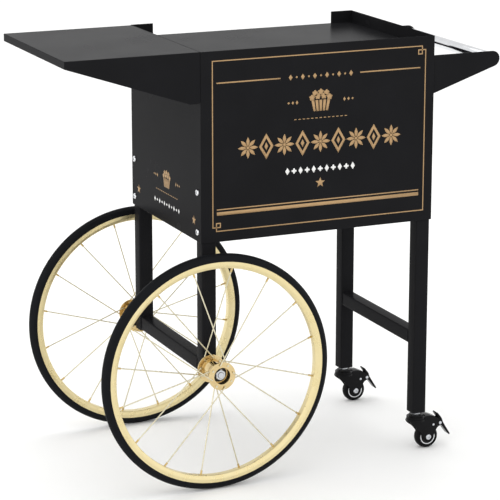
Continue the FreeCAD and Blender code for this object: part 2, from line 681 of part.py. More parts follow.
def bracket_outline(drawing):
    """Level top edge, round end about the tube's axis, straight edge back down to the cabinet."""
    centre = Vector(value(TUBE_X), value("handle_height"), 0)
    radius = value("handle_round")
    corner = Vector(value("cabinet_right"), value("bracket_low"), 0)
    reach = corner - centre
    tangent = math.atan2(reach.y, reach.x) + math.acos(radius / reach.Length)
    low = centre + Vector(math.cos(tangent), math.sin(tangent), 0) * radius
    top = centre + Vector(0, radius, 0)
    wall = Vector(corner.x, top.y, 0)
    circle = Part.Circle(centre, Vector(0, 0, 1), radius)
    upper = drawing.addGeometry(Part.LineSegment(wall, top), False)
    end = drawing.addGeometry(Part.ArcOfCircle(circle, tangent, math.pi / 2), False)
    lower = drawing.addGeometry(Part.LineSegment(low, corner), False)
    edge = drawing.addGeometry(Part.LineSegment(corner, wall), False)
    drawing.addConstraint(Sketcher.Constraint("Tangent", upper, 2, end, 2))
    drawing.addConstraint(Sketcher.Constraint("Tangent", end, 1, lower, 1))
    drawing.addConstraint(Sketcher.Constraint("Coincident", lower, 2, edge, 1))
    drawing.addConstraint(Sketcher.Constraint("Coincident", edge, 2, upper, 1))
    drawing.addConstraint(Sketcher.Constraint("Horizontal", upper))
    drawing.addConstraint(Sketcher.Constraint("Vertical", edge))
    pin_point(drawing, end, 3, TUBE_X, "handle_height")
    pin_point(drawing, edge, 1, "cabinet_right", "bracket_low")
    size = drawing.addConstraint(Sketcher.Constraint("Radius", end, radius))
    drawing.setExpression(f"Constraints[{size}]", bound("handle_round"))


def handle_bracket(name, side):
    """Tapered plate with a fixing flange on the side panel and a collar for the tube's end."""
    body = new_body(name.title().replace("_", ""))
    # the XZ plane looks to the front, so a distance from it counts towards -Y
    outer_face = f"{-side} * (half_depth - bracket_inset)"
    inner_face = f"{-side} * (half_depth - bracket_inset - bracket_plate)"
    low_face = outer_face if side == REAR else inner_face
    plate = sketch_on(body, body.Name + "Plate", "XZ_Plane")
    bracket_outline(plate)
    plate.setExpression("AttachmentOffset.Base.z", bound(low_face))
    pad(body, plate, "bracket_plate")
    flange = sketch_on(body, body.Name + "Flange", "YZ_Plane")
    start = f"{side} * (half_depth - bracket_inset)"
    end = f"{side} * (half_depth - bracket_inset - bracket_flange)"
    draw_outline(flange, [
        (start, "bracket_flange_low"), (end, "bracket_flange_low"),
        (end, "bracket_flange_high"), (start, "bracket_flange_high"),
    ])
    flange.setExpression("AttachmentOffset.Base.z", bound("cabinet_right"))
    pad(body, flange, "bracket_plate")
    collar = sketch_on(body, body.Name + "Collar", "XZ_Plane")
    draw_circle(collar, TUBE_X, "handle_height", "collar_radius")
    draw_circle(collar, TUBE_X, "handle_height", "tube_radius + running_gap")
    collar_low = inner_face if side == REAR else f"{inner_face} - collar_depth"
    collar.setExpression("AttachmentOffset.Base.z", bound(collar_low))
    pad(body, collar, "collar_depth")
    holes = sketch_on(body, body.Name + "Holes", "YZ_Plane")
    for z in ("bracket_screw_low", "bracket_screw_high"):
        draw_circle(holes, f"{side} * (half_depth - bracket_inset - bracket_screw_in)", z,
                    "screw_radius + bolt_clearance")
    pocket(body, holes, reverse=True)
    node(body, name)


def handle_tube():
    half = "(half_depth - bracket_inset - bracket_plate)"
    start = (TUBE_X, f"-{half}", "handle_height")
    node(tube("tube_radius", "tube_radius - tube_wall", start, f"2 * {half}", "Y"), "handle_tube")


# ---- doors ---------------------------------------------------------------------------------------

OPENING_LEFT = "cabinet_left + corner_flange"
OPENING_RIGHT = "cabinet_right - corner_flange"
DOOR_WIDTH = f"(({OPENING_RIGHT}) - ({OPENING_LEFT}) - 3 * door_gap) / 2"
HINGE_Y = "half_depth + hinge_stand"


def door_edge(side):
    """x of a door's hinged edge."""
    return f"({OPENING_LEFT} + door_gap)" if side == LEFT else f"({OPENING_RIGHT} - door_gap)"


def hinge_x(side):
    return f"({door_edge(side)} + {side} * hinge_side)"


def span(start, end, side):
    """The two x ends in rising order, for a piece that is mirrored to the other door."""
    return (start, end) if side == LEFT else (end, start)


def door(name, side):
    """Pan with its edges folded inwards and a hole for the knob's stud."""
    free_edge = f"({door_edge(side)} - {side} * {DOOR_WIDTH})"
    west, east = span(door_edge(side), free_edge, side)
    knob_x = f"{free_edge} + {side} * knob_in"
    shell = box((west, "half_depth - door_depth", "door_bottom"),
                (east, "half_depth", "door_bottom + door_height"))
    hollow = box((f"{west} + gauge", "half_depth - door_depth", "door_bottom + gauge"),
                 (f"{east} - gauge", "half_depth - gauge", "door_bottom + door_height - gauge"))
    stud_hole = rod("stud_radius + bolt_clearance", (knob_x, "half_depth - 2 * gauge", "knob_height"),
                    "3 * gauge", "Y")
    node(cut(shell, hollow, stud_hole), name)

    short = name.split("_")[0]
    grip = fuse(
        rod("knob_neck", (knob_x, "half_depth", "knob_height"), "knob_length / 2", "Y"),
        rod("knob_radius", (knob_x, "half_depth + knob_length / 2", "knob_height"), "knob_length / 2", "Y"),
        rod("stud_radius", (knob_x, "half_depth - stud_length", "knob_height"), "stud_length", "Y"))
    node(grip, short + "_knob")

    far, near = f"{free_edge} + {side} * strike_far", f"{free_edge} + {side} * strike_near"
    strike_west, strike_east = span(far, near, side)
    node(box((strike_west, "half_depth - 2 * gauge", "strike_low"),
             (strike_east, "half_depth - gauge", "strike_high")), short + "_strike_plate")

    leaves = []
    for middle in ("lower_hinge", "upper_hinge"):
        knuckle = [(f"{middle} - door_knuckle / 2", "door_knuckle")]
        leaves.append(hinge_leaf(side, -side, middle, knuckle, "pin_radius + running_gap"))
    node(group(*leaves), short + "_hinge_leaves")


def hinge_leaf(side, reach, middle, knuckles, bore):
    """Flat leaf that reaches to one side of the hinge axis, with knuckles at the given heights."""
    axis = hinge_x(side)
    inner = f"{axis} + {reach} * leaf_clear"
    outer = f"{axis} + {reach} * leaf_width"
    west, east = (inner, outer) if reach > 0 else (outer, inner)
    pieces = [box((west, "half_depth", f"{middle} - leaf_height / 2"),
                  (east, "half_depth + gauge", f"{middle} + leaf_height / 2"))]
    bores = []
    for start, length in knuckles:
        west, east = (axis, inner) if reach > 0 else (inner, axis)
        pieces.append(box((west, "half_depth", start), (east, "half_depth + gauge", f"{start} + {length}")))
        pieces.append(rod("knuckle_radius", (axis, HINGE_Y, start), length, "Z"))
        bores.append(rod(bore, (axis, HINGE_Y, start), length, "Z"))
    return cut(fuse(*pieces), *bores)


def hinge_frame_parts():
    """Leaves on the corner flanges, each with an upper and a lower knuckle, and the pins."""
    leaves, pins = [], []
    end_knuckle = "((leaf_height - door_knuckle) / 2 - knuckle_gap)"
    for side in (LEFT, RIGHT):
        for middle in ("lower_hinge", "upper_hinge"):
            knuckles = [
                (f"{middle} - leaf_height / 2", end_knuckle),
                (f"{middle} + door_knuckle / 2 + knuckle_gap", end_knuckle),
            ]
            leaves.append(hinge_leaf(side, side, middle, knuckles, "pin_radius"))
            pins.append(rod("pin_radius", (hinge_x(side), HINGE_Y, f"{middle} - leaf_height / 2"),
                            "leaf_height", "Z"))
    node(group(*leaves), "hinge_frame_leaves")
    node(group(*pins), "hinge_pins")


def magnet_catch():
    """Hanger under the tray with one magnet block behind each door's strike plate."""
    middle = f"(({OPENING_LEFT}) + ({OPENING_RIGHT})) / 2"
    west, east = f"{middle} - catch_half", f"{middle} + catch_half"
    face = "half_depth - 2 * gauge - magnet_gap"
    seat = f"{face} - magnet_depth"
    back = f"{seat} - catch_gauge"
    tray_under = "cabinet_top - tray_recess - gauge"
    hanger = box((west, back, "magnet_low"), (east, seat, tray_under))
    foot = box((west, f"{back} - catch_foot", f"{tray_under} - catch_gauge"), (east, back, tray_under))
    magnets = [
        box((f"{middle} + {start}", seat, "magnet_low"), (f"{middle} + {end}", face, "magnet_high"))
        for start, end in (("(-magnet_far)", "(-magnet_near)"), ("magnet_near", "magnet_far"))]
    node(fuse(hanger, foot, *magnets), "magnet_catch")


# ---- spoked wheels -------------------------------------------------------------------------------

WHEEL_X = LEFT_LEG_X


def wheel_y(side, out="0"):
    """y at a distance outboard of a wheel's mid-plane."""
    return f"{side} * (half_depth + wheel_offset + ({out}))"


def at_wheel(body, side):
    """Put a body that turns about its own Y axis at a wheel's centre, turned to the spoke phase."""
    body.Placement = Placement(Vector(), Rotation(Vector(0, 1, 0), -value("spoke_phase")))
    for letter, text in zip("xyz", (WHEEL_X, wheel_y(side), AXLE_HEIGHT)):
        body.setExpression(f"Placement.Base.{letter}", bound(text))


def tyre(name, side):
    """Solid rubber ring: round outside, with a narrower foot that sits inside the rim."""
    middle = "(wheel_radius - tyre_radius)"
    chamfer = "tyre_radius * sin(45)"
    half_chamfer = "tyre_radius * sin(22.5)"
    long_chamfer = "tyre_radius * cos(22.5)"
    right_half = [
        ("tyre_foot", "tyre_seat - tyre_taper"),
        ("rim_turn + 2 * tyre_slack", "tyre_seat - tyre_slack"),
        ("rim_outer + tyre_rest", "tyre_seat"),
        ("rim_outer + 2 * tyre_rest", "tyre_radius"),
        (f"{middle} + {half_chamfer}", long_chamfer),
        (f"{middle} + {chamfer}", chamfer),
        (f"{middle} + {long_chamfer}", half_chamfer),
        ("wheel_radius", "tyre_crown"),
    ]
    left_half = [(radius, f"-({across})") for radius, across in reversed(right_half)]
    body = new_body(name.title().replace("_", ""))
    section = sketch_on(body, body.Name + "Section", "XY_Plane")
    draw_outline(section, right_half + left_half)
    revolve(body, section)
    at_wheel(body, side)
    node(body, name)


def rim(name, side):
    """Rolled channel that opens outwards, with a nipple hole for each spoke."""
    outside = [
        ("rim_outer", "rim_edge"), ("rim_turn", "rim_shoulder"), ("rim_inner", "rim_floor"),
        ("rim_inner", "-rim_floor"), ("rim_turn", "-rim_shoulder"), ("rim_outer", "-rim_edge"),
    ]
    inside = [
        ("rim_outer", "-rim_edge + rim_wall"), ("rim_turn + rim_bend", "-rim_shoulder + rim_wall"),
        ("rim_inner + rim_wall", "-rim_floor + 2 * rim_bend"),
        ("rim_inner + rim_wall", "rim_floor - 2 * rim_bend"),
        ("rim_turn + rim_bend", "rim_shoulder - rim_wall"), ("rim_outer", "rim_edge - rim_wall"),
    ]
    body = new_body(name.title().replace("_", ""))
    section = sketch_on(body, body.Name + "Section", "XY_Plane")
    draw_outline(section, outside + inside)
    revolve(body, section)
    hole = sketch_on(body, body.Name + "Hole", "YZ_Plane")
    draw_circle(hole, "0", "0", "nipple_hole")
    first = pocket(body, hole, reverse=True)
    ring_pattern(body, first, SPOKES)
    at_wheel(body, side)
    node(body, name)


def hub(name, side):
    """Turned shell: two flanges, stepped barrel, a bearing seat and a recess at each end."""
    out = f"{side} * "
    bearing_end = "inner_bearing + bearing_width"
    outer_end = "outer_bearing + bearing_width"
    profile = [
        ("hub_mouth", "-flange_outer"), ("flange_radius", "-flange_outer"),
        ("flange_radius", "-flange_inner"), ("dome_radius", "-flange_inner"),
        ("barrel_radius", "-dome_end"), ("barrel_radius", "dome_end"),
        ("dome_radius", "flange_inner"), ("flange_radius", "flange_inner"),
        ("flange_radius", "flange_outer"), ("hub_mouth", "flange_outer"),
        ("hub_mouth", outer_end), ("bearing_radius", outer_end),
        ("bearing_radius", "outer_bearing"), ("hub_bore", "outer_bearing"),
        ("hub_bore", bearing_end), ("bearing_radius", bearing_end),
        ("bearing_radius", "inner_bearing"), ("hub_mouth", "inner_bearing"),
    ]
    body = new_body(name.title().replace("_", ""))
    section = sketch_on(body, body.Name + "Section", "XY_Plane")
    draw_outline(section, [(radius, f"{out}({across})") for radius, across in profile])
    revolve(body, section)
    # the outer flange's first hole is at the phase angle, the inner flange's half a step on
    for label, turn, reverse in (("Outer", 0, side == FRONT), ("Inner", 360 / SPOKES, side == REAR)):
        hole = sketch_on(body, body.Name + label + "Hole", "XZ_Plane")
        draw_circle(hole, f"spoke_circle * cos({turn})", f"spoke_circle * sin({turn})", "spoke_hole")
        first = pocket(body, hole, reverse=reverse)
        ring_pattern(body, first, SPOKES // 2)
    at_wheel(body, side)
    node(body, name)


def bearings(name, side):
    """Two sealed bearings that sit in the hub and run on the axle."""
    rings = []
    for start in ("inner_bearing", "outer_bearing"):
        near = start if side == REAR else f"{start} + bearing_width"
        rings.append(tube("bearing_radius", "axle_radius + running_gap",
                          (WHEEL_X, wheel_y(side, near), AXLE_HEIGHT), "bearing_width", "Y"))
    node(group(*rings), name)


def spoke_line(step, side):
    """A spoke's flange hole, elbow and rim end in wheel coordinates, and its flange's outer side.

    Spokes take the outer and the inner flange in turn.  In each pair of one flange the first trails
    and leaves the flange's inner face; the next leads, by the same angle, from its outer face.
    """
    rim_angle = math.radians(value("spoke_phase") + step * 360 / SPOKES)
    flange_side = side if step % 2 == 0 else -side
    leads = step % 4 >= 2
    lead = math.radians(value("spoke_lead"))
    hub_angle = rim_angle + lead if leads else rim_angle - lead
    face = value("flange_outer + elbow_out") if leads else value("flange_inner - elbow_in")
    circle = value("spoke_circle")
    floor = value("rim_inner")
    hole = Vector(circle * math.cos(hub_angle), 0, circle * math.sin(hub_angle))
    elbow = hole + Vector(0, flange_side * face, 0)
    rim_end = Vector(floor * math.cos(rim_angle), 0, floor * math.sin(rim_angle))
    return hole, elbow, rim_end, flange_side, leads


def spoke(step, side):
    """One spoke: head and shank through the flange, elbow, and the long wire to the rim."""
    hole, elbow, rim_end, flange_side, leads = spoke_line(step, side)
    radius = value("spoke_radius")
    head_face = value("flange_inner") if leads else value("flange_outer")
    head_way = Vector(0, flange_side * (-1 if leads else 1), 0)
    head_at = hole + Vector(0, flange_side * head_face, 0)
    head = Part.makeCylinder(value("spoke_head"), value("spoke_head_height"), head_at, head_way)
    shank = Part.makeCylinder(radius, (elbow - head_at).Length, head_at, elbow - head_at)
    bend = Part.makeSphere(radius, elbow)
    run = rim_end - elbow
    wire = Part.makeCylinder(radius, run.Length + value("spoke_tail"), elbow, run)
    return head.fuse([shank, bend, wire])


def nipple(step, side):
    """Sleeve over the spoke's end with a head inside the rim."""
    _, elbow, rim_end, _, _ = spoke_line(step, side)
    way = rim_end - elbow
    way.normalize()
    inner_end = rim_end - way * value("nipple_start")
    sleeve = Part.makeCylinder(value("nipple_radius"), value("nipple_length"), inner_end, way)
    head_at = rim_end + way * value("rim_wall + nipple_head_gap")
    head = Part.makeCylinder(value("nipple_head"), value("nipple_head_height"), head_at, way)
    depth = value("nipple_start + 2 * spoke_tail")
    bore = Part.makeCylinder(value("spoke_radius + running_gap"), depth, inner_end, way)
    return sleeve.fuse(head).cut(bore)


def wheel_wires(name, side, maker):
    """All sixteen of one wheel's spokes or nipples, at the wheel's centre."""
    wires = fresh("Part::Feature", name.title().replace("_", ""))
    wires.Shape = Part.makeCompound([maker(step, side) for step in range(SPOKES)])
    centre = (value(WHEEL_X), value(wheel_y(side)), value(AXLE_HEIGHT))
    wires.Placement = Placement(Vector(*centre), Rotation())
    node(wires, name)


def axle_parts():
    """The axle through both left legs and both wheels, and what is fixed on it."""
    length = "2 * (half_depth + wheel_offset + axle_end)"
    start = (WHEEL_X, wheel_y(FRONT, "axle_end"), AXLE_HEIGHT)
    node(rod("axle_radius", start, length, "Y"), "wheel_axle")
    bore = "axle_radius + running_gap"
    inner_end = "(inner_bearing - side_gap)"
    sleeve_start = "(inner_bearing + bearing_width + side_gap)"
    sleeve_end = "(outer_bearing - side_gap)"
    washer_start = "(outer_bearing + bearing_width + side_gap)"
    nut_start = f"({washer_start} + washer_width)"
    spacers, nuts = [], []

    def between(side, near, far):
        """Start point and length of a ring between two distances outboard of the mid-plane."""
        low = near if side == REAR else far
        return (WHEEL_X, wheel_y(side, low), AXLE_HEIGHT), f"{far} - {near}"

    for side in (FRONT, REAR):
        leg_face = "(-wheel_offset - leg_inset)"
        spacers.append(tube("spacer_radius", bore, *between(side, leg_face, inner_end), "Y"))
        spacers.append(tube("sleeve_radius", bore, *between(side, sleeve_start, sleeve_end), "Y"))
        nuts.append(tube("washer_radius", bore, *between(side, washer_start, nut_start), "Y"))
        nuts.append(ring_nut("axle_nut_circle", "axle_radius",
                             *between(side, nut_start, f"({nut_start} + axle_nut_height)"), "Y"))
    node(group(*spacers), "axle_spacers")
    node(group(*nuts), "axle_nuts")


# ---- casters -------------------------------------------------------------------------------------

# side views: distance along the caster from its swivel axis, and height above the floor
CHEEK_OUTLINE = (
    (-19, 64), (-17, 57), (-2, 46), (7, 34), (13, 20),      # back edge, from the head to the wheel bolt
    (20, 15), (28, 15), (35, 20),                           # round the wheel bolt
    (39, 32), (45, 44), (54, 48), (56.5, 54), (53, 58),     # up to the pedal's pivot and round it
    (44, 66), (30, 72), (0, 72),                            # shoulder and the flat under the head
)
PEDAL_OUTLINE = (
    (44, 73), (47, 75), (58, 61), (60, 53),                 # upper tab, down to the pivot
    (78, 24), (75.5, 22), (57, 46),                         # lower tab
    (50, 48), (47, 51), (47.5, 57), (52, 60),               # round the pivot
)
# swivel head from below: radius less than swivel_radius, rise above the yoke's web, height
HEAD_RINGS = ((0, 1.5, 4.5), (1.5, 6, 1), (0.5, 7, 4), (5, 11, 4))


def caster_x(forward="0"):
    """x at a distance along the caster from its swivel axis."""
    return f"{RIGHT_LEG_X} + ({forward})"


def side_profile(body, outline, thickness):
    """Pad a side view both ways from the caster's middle plane."""
    drawing = sketch_on(body, body.Name + "Outline", "XZ_Plane")
    draw_outline(drawing, outline)
    pad(body, drawing, thickness, both_ways=True)


def yoke(name, side):
    """Round swivel head and a forked arm that carries the wheel bolt and the pedal pin."""
    y = leg_y(side)
    arm = new_body(name.title().replace("_", "") + "Arm")
    side_profile(arm, CHEEK_OUTLINE, "2 * fork_outer")
    slot = sketch_on(arm, arm.Name + "Slot", "YZ_Plane")
    draw_outline(slot, [
        ("-fork_inner", "0"), ("fork_inner", "0"),
        ("fork_inner", "yoke_floor"), ("-fork_inner", "yoke_floor"),
    ])
    pocket(arm, slot, both_ways=True)
    put(arm, caster_x(), y, "0")
    rings = [rod(f"swivel_radius - {less}", (caster_x(), y, f"yoke_floor + {rise}"), height, "Z")
             for less, rise, height in HEAD_RINGS]
    bore_length = f"yoke_top - yoke_floor + 2 * {PAST}"
    whole = cut(
        fuse(arm, *rings),
        rod("stem_radius + running_gap", (caster_x(), y, f"yoke_floor - {PAST}"), bore_length, "Z"),
        rod("caster_pin", (caster_x("caster_trail"), f"{y} - fork_outer", "caster_radius"),
            "2 * fork_outer", "Y"),
        rod("pedal_pin", (caster_x("pedal_x"), f"{y} - fork_outer", "pedal_z"), "2 * fork_outer", "Y"))
    node(whole, name)


def caster(side):
    """Everything of one caster except its stem."""
    short = "front_caster" if side == FRONT else "rear_caster"
    y = leg_y(side)
    yoke(short + "_yoke", side)
    axle = (caster_x("caster_trail"), y, "caster_radius")
    pivot = (caster_x("pedal_x"), y, "pedal_z")

    def across(point, out):
        """The same point at a distance across the caster; negative is to the front."""
        return (point[0], f"{point[1]} + ({out})", point[2])

    crown = "caster_half - tread_shoulder"
    edge, width = across(axle, "-caster_half"), "2 * caster_half"
    tread = fuse(
        tube("caster_radius - tread_step", "core_radius", edge, width, "Y"),
        tube("caster_radius", "core_radius", across(axle, f"-({crown})"), f"2 * ({crown})", "Y"))
    node(tread, short + "_tread")
    dishes = [tube("core_radius - core_ring", "core_boss", across(axle, start), "core_dish", "Y")
              for start in ("-caster_half", "caster_half - core_dish")]
    blank = tube("core_radius", "caster_pin + running_gap", edge, width, "Y")
    node(cut(blank, *dishes), short + "_core")
    bolt = fuse(
        rod("caster_pin", across(axle, "-fork_outer"), "2 * fork_outer", "Y"),
        rod("caster_head", across(axle, "-fork_outer - caster_head_height"), "caster_head_height", "Y"),
        hexagon("caster_head", across(axle, "fork_outer"), "caster_nut_height", "Y"))
    node(bolt, short + "_bolt")
    heads = [rod("pedal_pin_head", across(pivot, start), "pedal_pin_head_height", "Y")
             for start in ("-fork_outer - pedal_pin_head_height", "fork_outer")]
    pin = fuse(rod("pedal_pin", across(pivot, "-fork_outer"), "2 * fork_outer", "Y"), *heads)
    node(pin, short + "_pedal_pin")

    lever = new_body(short.title().replace("_", "") + "Pedal")
    side_profile(lever, PEDAL_OUTLINE, "2 * pedal_half")
    pin_hole = sketch_on(lever, lever.Name + "Hole", "XZ_Plane")
    draw_circle(pin_hole, "pedal_x", "pedal_z", "pedal_pin + running_gap")
    pocket(lever, pin_hole, both_ways=True)
    put(lever, caster_x(), y, "0")
    node(lever, short + "_brake_pedal")


def caster_stems():
    """Fixed stems: thread in the leg plug, hexagon collar under the leg, lower head in the yoke."""
    stems = []
    for side in (FRONT, REAR):
        y = leg_y(side)
        stems.append(fuse(
            rod("stem_radius", (caster_x(), y, "yoke_floor - stem_drop"),
                "stem_top - yoke_floor + stem_drop", "Z"),
            rod("stem_foot", (caster_x(), y, "yoke_floor - stem_drop - side_gap"),
                "stem_drop - side_gap", "Z"),
            hexagon("stem_collar", (caster_x(), y, "yoke_top + collar_gap"),
                    "right_leg_bottom - yoke_top - collar_gap", "Z")))
    node(group(*stems), "caster_stems")


# ---- the whole cart ------------------------------------------------------------------------------

front_panel()
node(side_panel("LeftSidePanel", LEFT, "cabinet_left", list(shelf_screw_places())), "left_side_panel")
node(side_panel("RightSidePanel", RIGHT, "cabinet_right", list(bracket_screw_places())), "right_side_panel")
tray_top()
floor_pan()
leg("front_left_leg", LEFT_LEG_X, FRONT, "left_leg_bottom", True)
leg("rear_left_leg", LEFT_LEG_X, REAR, "left_leg_bottom", True)
leg("front_right_leg", RIGHT_LEG_X, FRONT, "right_leg_bottom", False)
leg("rear_right_leg", RIGHT_LEG_X, REAR, "right_leg_bottom", False)
crossbar("axle_crossbar", LEFT_LEG_X)
crossbar("caster_crossbar", RIGHT_LEG_X)
leg_end_plugs()
leg_bolts()
side_shelf()
screw_group("shelf_screws", shelf_screw_places(),
            head_x="cabinet_left - shelf_gap - gauge - screw_head_height",
            shank_x="cabinet_left - shelf_gap - gauge",
            nut_x="cabinet_left + gauge")
handle_bracket("front_handle_bracket", FRONT)
handle_bracket("rear_handle_bracket", REAR)
handle_tube()
screw_group("handle_screws", bracket_screw_places(),
            head_x="cabinet_right + bracket_plate",
            shank_x="cabinet_right + bracket_plate - screw_length",
            nut_x="cabinet_right - gauge - screw_nut_height")
door("left_door", LEFT)
door("right_door", RIGHT)
hinge_frame_parts()
magnet_catch()
for end, wheel_side in (("front", FRONT), ("rear", REAR)):
    tyre(end + "_tyre", wheel_side)
    rim(end + "_rim", wheel_side)
    hub(end + "_hub", wheel_side)
    bearings(end + "_wheel_bearings", wheel_side)
    wheel_wires(end + "_spokes", wheel_side, spoke)
    wheel_wires(end + "_spoke_nipples", wheel_side, nipple)
    caster(wheel_side)
axle_parts()
caster_stems()
doc.recompute()

# ---- tests and files -----------------------------------------------------------------------------

for item in doc.Objects:
    if "Invalid" in item.State or "Error" in item.State:
        raise RuntimeError(f"{item.Label} did not compute: {item.State}")
for piece in nodes:
    if piece.Shape.isNull() or not piece.Shape.isValid():
        raise RuntimeError(f"{piece.Label} has no valid shape")

os.makedirs("parts", exist_ok=True)
for piece in nodes:
    piece.Shape.exportStep(os.path.join("parts", piece.Label + ".step"))
    solids = len(piece.Shape.Solids)
    print(f"{piece.Label:24s} {solids:3d} solids {piece.Shape.Volume / 1000:9.2f} cm3")
print(len(nodes), "nodes")
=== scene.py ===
"""Visible surfaces, finishes, floor, lights and camera of a popcorn cart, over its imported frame."""

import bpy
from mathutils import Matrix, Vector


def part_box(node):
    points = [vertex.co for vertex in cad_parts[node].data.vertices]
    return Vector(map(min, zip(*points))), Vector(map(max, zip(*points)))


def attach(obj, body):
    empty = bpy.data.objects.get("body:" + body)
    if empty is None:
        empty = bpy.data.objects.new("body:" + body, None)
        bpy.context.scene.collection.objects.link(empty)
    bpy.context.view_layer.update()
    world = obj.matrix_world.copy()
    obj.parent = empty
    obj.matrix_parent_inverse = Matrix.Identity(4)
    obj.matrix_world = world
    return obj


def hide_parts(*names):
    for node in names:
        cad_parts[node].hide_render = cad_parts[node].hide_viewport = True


bl_info = {
    "name": "Popcorn Cart Finish",
    "version": (1, 0, 0),
    "blender": (4, 5, 0),
    "location": "View3D > Sidebar > Popcorn Cart",
    "description": "Dress the frame of a popcorn cart with its visible surfaces and finishes",
    "category": "Object",
}

from math import cos, pi, radians, sin, tau

import bmesh
import bpy
import numpy as np
from mathutils import Vector

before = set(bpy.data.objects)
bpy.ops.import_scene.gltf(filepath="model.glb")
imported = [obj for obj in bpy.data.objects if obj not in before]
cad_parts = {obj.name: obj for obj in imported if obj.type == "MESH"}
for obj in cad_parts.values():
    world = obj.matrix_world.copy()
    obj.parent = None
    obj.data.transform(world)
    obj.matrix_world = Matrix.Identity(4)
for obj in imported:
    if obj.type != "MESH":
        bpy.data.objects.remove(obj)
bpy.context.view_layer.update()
MM = 0.001
ENDS = (("front", -1), ("rear", 1))


# ---- colours and nodes ----

def srgb(text):
    """Linear red, green, blue and alpha of a hex colour such as #b8976a."""
    parts = [int(text[i:i + 2], 16) / 255 for i in (1, 3, 5)]
    return tuple(p / 12.92 if p <= 0.04045 else ((p + 0.055) / 1.055) ** 2.4 for p in parts) + (1.0,)


def add(tree, kind, inputs=(), **settings):
    """Add a node, set its properties, and fill its inputs with values or other nodes' outputs."""
    node = tree.nodes.new(kind)
    for name, value in settings.items():
        setattr(node, name, value)
    for name, value in dict(inputs).items():
        if isinstance(value, bpy.types.NodeSocket):
            tree.links.new(value, node.inputs[name])
        else:
            node.inputs[name].default_value = value
    return node


def start_finish(name, values):
    """A named material with one shader, even values on the shader's own sockets, and the output
    that gives each point's place on its piece."""
    material = bpy.data.materials.new(name)
    material.use_nodes = True
    tree = material.node_tree
    tree.nodes.clear()
    shader = add(tree, "ShaderNodeBsdfPrincipled", values)
    add(tree, "ShaderNodeOutputMaterial", {"Surface": shader.outputs[0]})
    return material, tree, shader, add(tree, "ShaderNodeTexCoord").outputs["Object"]


def lead(tree, shader, patch, colours, level, rough, relief):
    """Lead patterns to the shader: patch mixes the two colours, level runs between two values to
    give two roughnesses, and relief is a height, its strength and its depth in millimetres."""
    sizes = bpy.context.scene.popcorn_cart
    dark, light = (srgb(c) if c.startswith("#") else (*getattr(sizes, c), 1.0) for c in colours)
    mix = add(tree, "ShaderNodeMix", {0: patch, 6: dark, 7: light}, data_type="RGBA")
    tree.links.new(mix.outputs[2], shader.inputs["Base Color"])
    value, low, high = level
    spread = add(tree, "ShaderNodeMapRange", {"Value": value, "From Min": low, "From Max": high,
                                              "To Min": rough[0], "To Max": rough[1]})
    tree.links.new(spread.outputs[0], shader.inputs["Roughness"])
    height, strength, depth_mm = relief
    bump = add(tree, "ShaderNodeBump", {"Height": height, "Strength": strength, "Distance": depth_mm * MM})
    tree.links.new(bump.outputs[0], shader.inputs["Normal"])


def grained(name, dark, light, rough, patch_mm, grain_mm, relief_mm, values):
    """A finish whose colour and roughness drift over patch_mm, over a fine relief of grain_mm:
    noise at 1 / size gives features of about that size, in metres, on Object coordinates."""
    material, tree, shader, spot = start_finish(name, values)
    patch = add(tree, "ShaderNodeTexNoise", {"Vector": spot, "Scale": 1 / (patch_mm * MM), "Detail": 4.0})
    grain = add(tree, "ShaderNodeTexNoise", {"Vector": spot, "Scale": 1 / (grain_mm * MM), "Detail": 2.0})
    lead(tree, shader, patch.outputs[0], (dark, light), (patch.outputs[0], 0.3, 0.7), rough,
         (grain.outputs[0], 0.6, relief_mm))
    return material


# ---- finishes ----

def turned_brass(end):
    """Rose brass, turned and polished, on one hub: bright, with fine lathe rings about the hub's
    axis.  A wave's rings are tau / 20 / Scale apart, here 0.9 mm."""
    material, tree, shader, spot = start_finish(f"{end}_turned_rose_brass", {"Metallic": 1.0})
    moved = add(tree, "ShaderNodeMapping", {"Vector": spot, "Location": -middle_of(f"{end}_hub")})
    rings = add(tree, "ShaderNodeTexWave", {"Vector": moved.outputs[0], "Scale": 0.314 / (0.9 * MM),
                                            "Distortion": 0.6, "Detail": 2.0},
                wave_type="RINGS", rings_direction="Y")
    patch = add(tree, "ShaderNodeTexNoise", {"Vector": spot, "Scale": 1 / (14 * MM), "Detail": 3.0})
    lead(tree, shader, patch.outputs[0], ("#c6ad7c", "#e0ca9a"), (rings.outputs[1], 0.0, 1.0), (0.10, 0.20),
         (rings.outputs[1], 0.25, 0.03))
    return material


# black nylon, injection moulded: low sheen with a fine mould texture
NYLON = ("moulded_black_nylon", "#0f0f10", "#1a1a1b", (0.34, 0.46), 14, 0.9, 0.02, {"IOR": 1.3})

